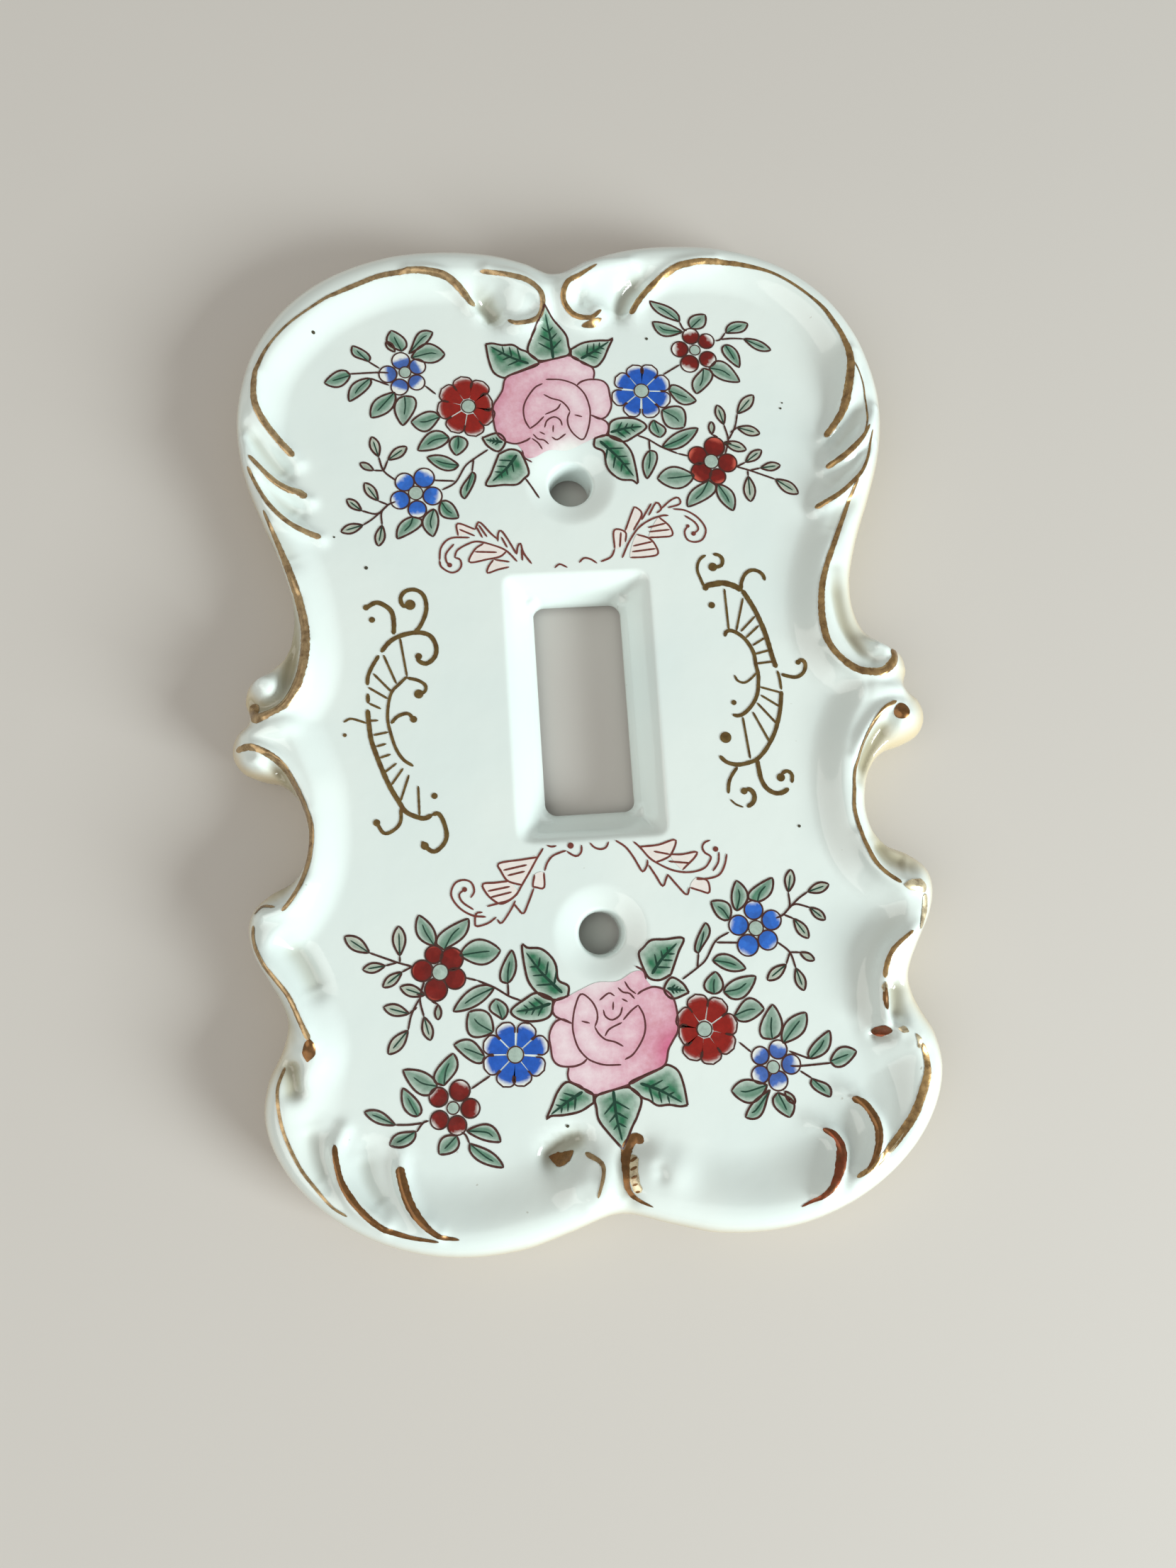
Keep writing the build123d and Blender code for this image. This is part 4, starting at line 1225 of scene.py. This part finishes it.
# Side scrolls: width and path of each curl; ends of each rung; place and radius of each blob.
SCROLL_LEFT = [
    (0.6, [(-27.9, 13.7), (-26.5, 14.4), (-25.3, 13.9), (-24.5, 13), (-24.3, 11.5), (-24.4, 10)]),
    (0.55, [(-22.1, 13.9), (-23, 13.8), (-23.3, 14.9), (-22.6, 15.8), (-21.3, 15.9), (-20.3, 15.1),
            (-20, 13.6), (-20.3, 12.2), (-21.1, 10.7), (-21.7, 10.3)]),
    (0.6, [(-26.1, 7.7), (-25.1, 8.9), (-24, 9.6), (-22.6, 10), (-21.1, 10.1), (-19.7, 9.6),
           (-19, 8.2), (-19.2, 6.8), (-20.3, 5.9), (-21.3, 6.3), (-21.3, 7)]),
    (0.5, [(-26.4, 7.3), (-27.4, 5.7), (-27.9, 4.5), (-28, 3.4)]),
    (0.5, [(-28, 2.3), (-28, 1)]),
    (0.6, [(-28.1, 0.2), (-28, -1.6), (-27.8, -3.7), (-27.3, -5.5), (-26.6, -7.6), (-25.7, -9.9),
           (-24.6, -12), (-23.8, -13.3), (-22.6, -14), (-21.5, -14.3), (-20.5, -13.9)]),
    (0.55, [(-20.5, -13.9), (-19.7, -13.8), (-19.1, -14.9), (-18.8, -16.6), (-19.3, -17.8),
            (-20.5, -18.6), (-21.6, -17.8), (-21.9, -17.2)]),
    (0.3, [(-31.2, -1.3), (-30.3, -0.9), (-29, -1.3), (-28.3, -1.6)]),
    (0.45, [(-24.4, -12.8), (-24.5, -14.5), (-25.3, -15.5), (-26.6, -15.9), (-27.5, -14.5)]),
    (0.4, [(-22.9, 4.3), (-24, 3.3), (-24.9, 2.4), (-25.4, 0.9), (-25.6, -1.2), (-25.3, -3),
           (-24.7, -5.1), (-23.8, -6.6), (-22.6, -7.5)]),
    (0.45, [(-22.9, 4.1), (-21.5, 3.7), (-20.6, 3), (-20.7, 2.2), (-21.5, 1.9)]),
    (0.45, [(-25.2, -1.8), (-24.3, -0.9), (-23, -0.6), (-22.3, -1.4)]),
]
SCROLL_RIGHT = [
    (0.4, [(16.9, 14.6), (16.5, 15.8), (16.2, 16.8), (16.3, 17.8), (16.8, 18.6), (17.5, 19)]),
    (0.5, [(18.5, 19.1), (19.3, 18.9), (19.7, 18.3), (19.5, 17.5), (18.6, 17.2)]),
    (0.8, [(16.9, 14.1), (17.3, 14.7), (18.3, 14.9), (19.5, 15), (20.8, 14.6), (22, 13.9)]),
    (0.5, [(21.9, 14), (22, 15), (22.6, 16.1), (23.4, 16.6), (24.3, 16.5), (25, 15.9),
           (25.2, 15.1)]),
    (0.65, [(22, 13.9), (22.6, 12.8), (23.4, 11.2), (24, 9.6), (24.5, 8), (24.9, 6.2), (25.2, 4.6),
            (25.6, 3)]),
    (0.35, [(25.7, 2.6), (25.9, 1.6), (26, 0)]),
    (0.55, [(26, -0.2), (25.8, -1.4), (25.6, -2.6), (25.2, -4), (24.6, -5.6), (23.8, -7),
            (22.9, -8.2), (21.9, -9.1), (20.8, -9.5), (19.3, -9.7), (17.9, -9.3), (17, -8.4)]),
    (0.5, [(19.1, 7.6), (19.3, 8.2), (19.9, 8.4), (20.8, 8), (21.7, 7.2), (22.4, 6.1), (22.8, 5),
           (22.9, 3.6), (23.1, 2.2), (23, 1), (22.8, -0.2), (22.3, -1.3), (21.5, -2.3), (20.6, -3),
           (19.8, -3.2), (19.2, -3)]),
    (0.3, [(22.9, 2.5), (22.2, 1.8), (21.2, 1.2), (20.3, 1.5), (19.9, 2.3)]),
    (0.5, [(26.2, 2.1), (27, 1.8), (28.2, 1.6), (29.2, 2.2), (29.5, 3.2), (29.2, 3.8),
           (28.6, 3.9)]),
    (0.6, [(21.9, -9.2), (22, -10.4), (22.2, -11.8), (22.8, -13), (23.8, -13.7), (24.8, -13.7),
           (25.7, -13.2)]),
    (0.5, [(26.2, -12.5), (26.3, -11.4), (25.7, -10.9), (24.9, -11.2)]),
    (0.45, [(19.2, -10), (18.4, -11), (17.9, -12), (17.7, -13.4)]),
    (0.25, [(17.9, -14.2), (18.6, -14.9), (19.5, -15.3)]),
    (0.6, [(20, -15.3), (20.8, -14.8), (21.1, -14), (20.8, -13.2), (20.1, -12.9)]),
]
RUNGS_RIGHT = [
    ((19.6, 14.2), (19.7, 8.5)), ((22, 12.8), (20.7, 8.3)), ((23.4, 10.2), (21.3, 8.2)),
    ((23.8, 8.9), (21.9, 7.3)), ((24.5, 7.2), (22.7, 6.2)), ((25.1, 5.5), (22.9, 5)),
    ((25.5, 3.9), (23, 3.7)), ((23.2, 0.5), (25.9, -0.4)), ((23.2, -0.6), (25.6, -2.3)),
    ((22.6, -1.6), (25, -4.6)), ((21.9, -2.8), (23.9, -7.2)), ((20.5, -3.4), (21, -9)),
]
BLOBS_RIGHT = [
    (18.3, 17.3, 0.6), (17.7, 12, 0.45), (19.5, -1.4, 0.35), (18, -6, 0.75), (28.6, 3.6, 0.35),
    (24.8, -11.7, 0.55), (19.8, -13.2, 0.45),
]
RUNGS_LEFT = [
    ((-23.6, 9.5), (-22.9, 4.3)), ((-25.8, 7.3), (-24.3, 3.4)), ((-27.2, 4.9), (-25, 2.4)),
    ((-27.9, 3.1), (-25.5, 1.5)), ((-27.9, 1), (-26.4, 0.2)), ((-28, -1.3), (-26.8, -1.3)),
    ((-27.5, -3.2), (-25.6, -2.9)), ((-27.2, -4.7), (-25.9, -4.4)), ((-26.8, -6.2), (-25.4, -5.8)),
    ((-26.4, -8.2), (-24.7, -7)), ((-25.5, -9.8), (-23.9, -7.7)), ((-24.4, -11.9), (-23.2, -8.6)),
    ((-22.1, -13.9), (-22.1, -10.1)),
]
BLOBS_LEFT = [
    (-27.8, 13.8, 0.4), (-27.1, 12.1, 0.4), (-22.1, 13.9, 0.7), (-21.3, 6.9, 0.45),
    (-21.5, 1.9, 0.6), (-22.3, -1.4, 0.45), (-31.1, -3, 0.25), (-27.5, -14.5, 0.45),
    (-21.6, -17.8, 0.5), (-20.1, -11.5, 0.4),
]


def paint_garland(name, outlines, leaves, dots, enamel):
    """A garland: pale leaves with an outline, then the loose lines and dots."""
    lines = Layer()
    for outline in leaves:
        filled(lines, as_top, outline, lambda points: np.tile(GARLAND_FILL, (len(points), 1)))
    for knots in leaves + outlines:
        stroke(lines, as_top, knots, 0.25, GARLAND_LINE)
    for x, y, radius in dots:
        dot(lines, as_top, (x, y), radius, GARLAND_LINE)
    lines.make(name, "painted_enamel", enamel)


def short_line(layer, start, end, width, colour, lift=LINE_LIFT):
    stroke(layer, as_top, [start, between(start, end, 0.5), end], width, colour, lift)


def paint_scroll(name, curls, rungs, blobs, gilding):
    """A side scroll: its curls, the rungs between its two arcs, and the blobs at its ends."""
    lines = Layer()
    for width, knots in curls:
        stroke(lines, as_top, knots, width, GILT_SCROLL)
    for start, end in rungs:
        short_line(lines, start, end, 0.3, GILT_SCROLL)
    for x, y, radius in blobs:
        dot(lines, as_top, (x, y), radius, GILT_SCROLL, LINE_LIFT + 0.01)
    lines.make(name, "gilding", gilding)


# ---- gilding along the rim: colour, widths along the line, then its path ----------
# left rim gilding in the paler, lit tone of the gold
GILT_RIM_LEFT = [
    (GILT_LIT_LEFT, [1.1, 0.9, 0.7, 0.6, 0.35, 0.35, 0.7, 0.9, 1.0],
     [(-11.6, 56), (-13.3, 58), (-15, 59.3), (-17, 59.9), (-20, 60.3), (-23.9, 59.8), (-27.3, 58.5),
      (-30, 57.3), (-31.8, 56.4), (-35.9, 53.5), (-38.2, 51.2), (-39.8, 48.9), (-40.7, 46.6),
      (-41, 44.1), (-40.9, 41.6), (-40, 39.4), (-38.2, 36.9), (-36.4, 34.7)]),
    (GILT_LIT_LEFT, [0.5, 0.8, 1.1],
     [(-41.8, 34.2), (-40.3, 32.5), (-38.8, 31), (-37.1, 30), (-35.9, 29.7), (-34.9, 28.9)]),
    (GILT_LIT_LEFT, [0.4, 0.6, 0.8],
     [(-42.1, 32.8), (-40.9, 30.1), (-39.4, 27.5), (-37.4, 25.4), (-35.3, 24.2), (-33.2, 23.4)]),
    (GILT_LIT_LEFT, [0.3, 1.0, 1.2, 1.4, 1.3],
     [(-40.3, 26.9), (-38.2, 21.3), (-36.8, 17.2), (-35.9, 13.6), (-35.4, 10.1), (-35.6, 6.6),
      (-36.5, 3.6), (-37.9, 1.3), (-40, 0.1), (-41.8, -0.5), (-42.5, 0.7), (-42.6, 1.9)]),
    (GILT_LIT_LEFT, [0.8, 0.9, 0.75, 0.75, 0.5],
     [(-44.7, -4.3), (-42.4, -4.3), (-40, -5.5), (-38.4, -7.2), (-37.2, -9.6), (-36.35, -11.6),
      (-35.4, -14.9), (-35.7, -18.1), (-36.6, -21.1), (-37.4, -22.8), (-38.2, -24), (-39, -24.9)]),
    (GILT_LIT_LEFT, [0.3], [(-40, -24.3), (-41.8, -24.1), (-42.8, -25)]),
    (GILT_LIT_LEFT, [0.5, 0.6, 0.7],
     [(-42.9, -26.4), (-42.8, -28.4), (-41.5, -31.1), (-40, -33.1), (-38.5, -35.2), (-37.4, -37.8),
      (-36.2, -40.5)]),
    (GILT_SHADED_DARK, [0.4, 1.5, 1.6, 0.5], [(-36.2, -40.3), (-36.3, -41.5), (-36.6, -43.1)]),
    (GILT_LIT_LEFT, [0.4, 0.4, 0.3],
     [(-39.6, -43.7), (-40.3, -46), (-40.1, -48.7), (-39.4, -51.6), (-37.8, -55.2), (-36, -57.8),
      (-34.2, -60), (-32.5, -61.2)]),
    # the lower-left flutes' gilding is painted dark, as painted dark reflection
    (GILT_SHADED_DARK, [0.6, 0.8, 0.7, 0.3],
     [(-33.8, -53), (-33.5, -55.2), (-32.8, -57.5), (-31, -60.2), (-28.4, -62.7), (-25.4, -64.1),
      (-21.9, -64.9)]),
    (GILT_SHADED_DARK, [1.1, 1.2, 0.8, 0.3],
     [(-26.3, -56.2), (-25.9, -58.1), (-25.1, -60.5), (-23.4, -62.8), (-21.6, -64.3),
      (-19.5, -64.9)]),
    (GILT_LIT_LEFT, [0.4, 0.8, 0.7, 0.5],
     [(-10.5, 60), (-8, 59.4), (-6, 58.8), (-4.5, 58.3), (-3.3, 57.5), (-2.3, 56.3), (-2.3, 54.8),
      (-3, 53.5), (-4.5, 52.9), (-6, 52.9), (-7.1, 53.6)]),
    (GILT_LIT_LEFT, [0.6, 0.5, 0.3], [(-3.9, -56.5), (-2.2, -57.5), (-1.9, -58.7), (-2.8, -61.4)]),
    (GILT_SHADED_DARK, [0.3, 1.5, 1.1, 0.3], [(-8.3, -56.9), (-7.1, -57.2), (-6.2, -56.9), (-5.3, -56.3)]),
]
# right rim gilding in the darker, shaded tone of the gold
GILT_RIM_RIGHT = [
    (GILT_SHADED_RIGHT, [0.9, 0.8, 0.7, 0.6, 0.4, 0.4, 0.7, 0.9, 1.1, 0.8],
     [(9.9, 54.1), (10.8, 55.5), (12.3, 57.3), (14.3, 58.8), (16.5, 60), (18.3, 60.4), (20.5, 60.7),
      (24, 60.6), (26.9, 60), (29.6, 59.1), (31.9, 57.8), (34.2, 56), (36.5, 53.7), (37.8, 51.6),
      (39, 49.1), (39.5, 46.4), (39.4, 44.1), (38.7, 40.7), (38, 38.5), (36.7, 36.6), (35.3, 35)]),
    (GILT_SHADED_RIGHT, [0.2],
     [(39.9, 45), (40.9, 42.8), (41.2, 40.7), (41.2, 38.5), (40.8, 36.2), (40.1, 34.1)]),
    (GILT_SHADED_RIGHT, [0.3, 0.8, 0.8],
     [(41.1, 35.7), (39.9, 33.9), (38.1, 32.2), (36.4, 31.1), (34.9, 30.4)]),
    (GILT_SHADED_RIGHT, [0.2, 0.5, 0.8],
     [(41.6, 35.1), (40.8, 32.2), (39.6, 29.5), (38.1, 27.8), (35.8, 26), (32.8, 24.7)]),
    (GILT_SHADED_RIGHT, [0.35, 0.7, 0.9, 1.0, 1.2],
     [(38.7, 28.1), (37.2, 24.8), (35.3, 20.7), (33.7, 17.2), (32.5, 13.9), (32, 10.7), (32, 8.1),
      (32.5, 5.4), (34, 3.1), (35.8, 1.7), (37.5, 1.3), (39.3, 1.4), (40.8, 2.5), (41.4, 3.6),
      (41.1, 4.5)]),
    (GILT_SHADED_RIGHT, [0.5, 0.4, 0.5, 0.6, 0.5],
     [(40.5, -2.8), (38.7, -3.7), (37.2, -5.5), (35.8, -7.8), (34.9, -10.2), (34.3, -11.6),
      (33.9, -14), (33.6, -16.4), (33.9, -18.7), (34.4, -21.1), (35.3, -23.4), (36.6, -25),
      (38.4, -26.4)]),
    (GILT_SHADED_RIGHT, [0.4, 0.6, 0.7],
     [(39.3, -32.5), (37.5, -33.7), (36.2, -34.9), (35.3, -36.6), (34.9, -38.1)]),
    (GILT_SHADED_DARK, [0.5, 0.9, 0.6], [(34.9, -39), (34.8, -40.5), (34.9, -42)]),
    (GILT_SHADED_RIGHT, [0.6, 1.1, 1.1, 0.9, 0.5],
     [(38.8, -46.4), (39.3, -48.1), (39.3, -49.9), (38.7, -51.6), (37.2, -54.6), (35.6, -56.6),
      (33.8, -58.4), (31.4, -60.2), (28.8, -61.6)]),
    (GILT_SHADED_DARK, [0.8, 1.1, 0.8, 0.3],
     [(29.7, -52.5), (31.2, -53.4), (32.2, -55.5), (32.1, -57.5), (31.2, -59.6), (29.7, -61.4)]),
    (GILT_RED, [0.6, 1.3, 0.8, 0.2],
     [(25.6, -55.9), (27.1, -56.9), (27.5, -58.7), (26.6, -61.1), (25, -63.1), (21.8, -64.6)]),
    (GILT_SHADED_RIGHT, [0.3, 0.7, 0.8, 0.4],
     [(5.5, 60.3), (3, 58.8), (1.3, 57.8), (0.6, 56), (1.3, 54.5), (2.5, 53.5), (4.3, 53.3),
      (5.8, 54.4)]),
    (GILT_SHADED_RIGHT, [0.4, 0.9, 0.3], [(3, 52.4), (4.4, 52.6), (5.8, 53.4)]),
    (GILT_SHADED_DARK, [1.0, 1.4, 1.3, 0.9, 0.7, 0.6, 0.4, 0.2],
     [(3.3, -55.9), (2.4, -55.3), (1.4, -56.2), (0.95, -57.8), (0.85, -59.4), (0.9, -60.8),
      (1.7, -62), (3.8, -63.2)]),
    (GILT_RED, [0.9, 1.5, 0.9], [(33.1, -44.6), (34.2, -44.7), (35.4, -44.8)]),
    # painted glints: pale highlights on the right rim's gold
    (GILT_GLINT_PALE, [0.6, 1.5, 1.5, 0.8], [(38.7, -26.7), (39.8, -26.8), (41.2, -26.8), (41.7, -27.8)]),
    (GILT_GLINT_PALE, [0.7, 0.9, 0.5], [(41.8, -28), (41.5, -30.2), (40.6, -32.4)]),
    (GILT_GLINT_PALE, [0.4, 0.9, 0.4], [(35, -38.6), (34.8, -39.2), (34.6, -39.8)]),
    (GILT_GLINT_PALE, [0.4, 0.9, 0.5], [(36, -44.4), (36.7, -44.6), (37.2, -44.9)]),
    (GILT_GLINT_PALE, [0.4, 0.7, 0.6], [(38.1, -45.2), (38.5, -46), (38.4, -47)]),
    (GILT_GLINT_PALE, [0.3, 0.7, 0.3], [(35.4, -57), (33.8, -58.6), (31.8, -60.2)]),
]
CURL_TIP, CURL_TIP_RADIUS = (41.2, -4.1), 1.05      # gilded tip of the right waist curl
VOLUTE_WASH = [(2, -57.2), (1.75, -58.6), (1.8, -60), (2.2, -61.4)]
VOLUTE_DASHES = [
    ((1.5, -57.9), (2.3, -57.4)), ((1.4, -58.8), (2.2, -58.4)), ((1.4, -59.7), (2.1, -59.4)),
    ((1.5, -60.5), (2.1, -60.3)), ((1.8, -61.3), (2.3, -61.2)),
]
SPECKS = [
    (-33.3, 52.3, 0.22), (11.9, 50.6, 0.2), (-27.6, 19.2, 0.24), (29.7, 39.7, 0.16),
    (-5.8, -53.3, 0.2), (26.6, -18.2, 0.2), (30, 40.5, 0.12), (-31.6, 23.6, 0.14),
]


def gilded_rim(rows):
    """The gilding lines along one half of the rim, as a layer that isn't laid down yet."""
    layer = Layer()
    for colour, widths, knots in rows:
        stroke(layer, as_top, knots, widths, colour, GILT_LIFT, ends=0.3, step=0.25)
    return layer


def add_worn_volute(layer):
    """The worn patch of the lower volute: a pale wash with dark dashes over it."""
    stroke(layer, as_top, VOLUTE_WASH, 1.1, GILT_GLINT_PALE, GILT_LIFT - 0.02)
    for start, end in VOLUTE_DASHES:
        short_line(layer, start, end, 0.3, GILT_SHADED_DARK, GILT_LIFT + 0.01)


def paint_everything():
    enamel, gilding = make_enamel(), make_gilding()
    # the top rose takes the full painted glare near its screw hole, the bottom one a quarter of it
    paint_spray("top_spray", as_top, 1.0, 0.15, 0.0, enamel)
    paint_spray("bottom_spray", as_bottom, 0.25, 0.85, 0.25, enamel)
    paint_garland("top_garland", TOP_GARLAND, TOP_GARLAND_LEAVES, TOP_GARLAND_DOTS, enamel)
    paint_garland("bottom_garland", BOTTOM_GARLAND, BOTTOM_GARLAND_LEAVES, BOTTOM_GARLAND_DOTS,
                  enamel)
    paint_scroll("left_scroll", SCROLL_LEFT, RUNGS_LEFT, BLOBS_LEFT, gilding)
    paint_scroll("right_scroll", SCROLL_RIGHT, RUNGS_RIGHT, BLOBS_RIGHT, gilding)
    gilded_rim(GILT_RIM_LEFT).make("rim_gilding_left", "gilding", gilding)
    right_rim = gilded_rim(GILT_RIM_RIGHT)
    dot(right_rim, as_top, CURL_TIP, CURL_TIP_RADIUS, GILT_SHADED_DARK, GILT_LIFT)
    add_worn_volute(right_rim)
    right_rim.make("rim_gilding_right", "gilding", gilding)
    specks = Layer()        # small dark marks, and the stem that the lower spray lacks
    stroke(specks, as_top, LOOSE_STEM, 0.25, LINE)
    for x, y, radius in SPECKS:
        dot(specks, as_top, (x, y), radius, SPECK)
    specks.make("kiln_specks", "painted_enamel", enamel)


# ---- camera, floor and light ------------------------------------------------------
CAMERA_PLACE = (-10.4, -30.9, 139.6)
CAMERA_TURN = (8.73, -3.70, -3.90)       # degrees
FLOOR_HALF = 1.5                         # metres, like the lights' places and sizes
FLOOR_COLOR = (0.62, 0.60, 0.57, 1)
SKY_COLOR, SKY_STRENGTH = (1.0, 0.965, 0.90, 1), 0.37
LIGHTS = [  # name, place, size, power, colour
    ("window", (0.74, -0.5, 0.38), (0.42, 0.34), 10.6, (0.935, 1.0, 0.995)),
    ("room_fill", (-0.6, -0.22, 0.75), (0.9, 0.9), 3.2, (1.0, 0.96, 0.9)),
]


def make_camera():
    data = bpy.data.cameras.new("camera")
    data.sensor_fit = "VERTICAL"
    data.sensor_height = 36
    data.lens = 24.0
    data.clip_start = 0.005
    camera = bpy.data.objects.new("camera", data)
    camera.location = Vector(CAMERA_PLACE) * MM
    camera.rotation_euler = Euler([math.radians(angle) for angle in CAMERA_TURN])
    bpy.context.scene.collection.objects.link(camera)
    bpy.context.scene.camera = camera


def area_light(name, place, size, power, color):
    """A rectangular light that points at the plate."""
    data = bpy.data.lights.new(name, "AREA")
    data.shape = "RECTANGLE"
    data.size, data.size_y = size
    data.energy = power
    data.color = color
    light = bpy.data.objects.new(name, data)
    light.location = place
    light.rotation_euler = (-Vector(place)).to_track_quat("-Z", "Y").to_euler()
    bpy.context.scene.collection.objects.link(light)


def make_floor():
    mesh = bpy.data.meshes.new("floor")
    corners = [(-1, -1), (1, -1), (1, 1), (-1, 1)]
    mesh.from_pydata([(x * FLOOR_HALF, y * FLOOR_HALF, 0) for x, y in corners], [], [(0, 1, 2, 3)])
    floor = bpy.data.objects.new("floor", mesh)
    floor.location.z = -0.02 * MM
    bpy.context.scene.collection.objects.link(floor)
    material, _, shader = new_material("floor")
    shader.inputs["Base Color"].default_value = FLOOR_COLOR
    shader.inputs["Roughness"].default_value = 0.8
    mesh.materials.append(material)


def make_light():
    world = bpy.data.worlds.new("world")
    world.use_nodes = True
    background = world.node_tree.nodes["Background"]
    background.inputs["Color"].default_value = SKY_COLOR
    background.inputs["Strength"].default_value = SKY_STRENGTH
    bpy.context.scene.world = world
    for light in LIGHTS:
        area_light(*light)
    bpy.context.scene.view_settings.view_transform = "Standard"


make_camera()
make_floor()
make_light()
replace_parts(make_body(), PLATE)
paint_everything()
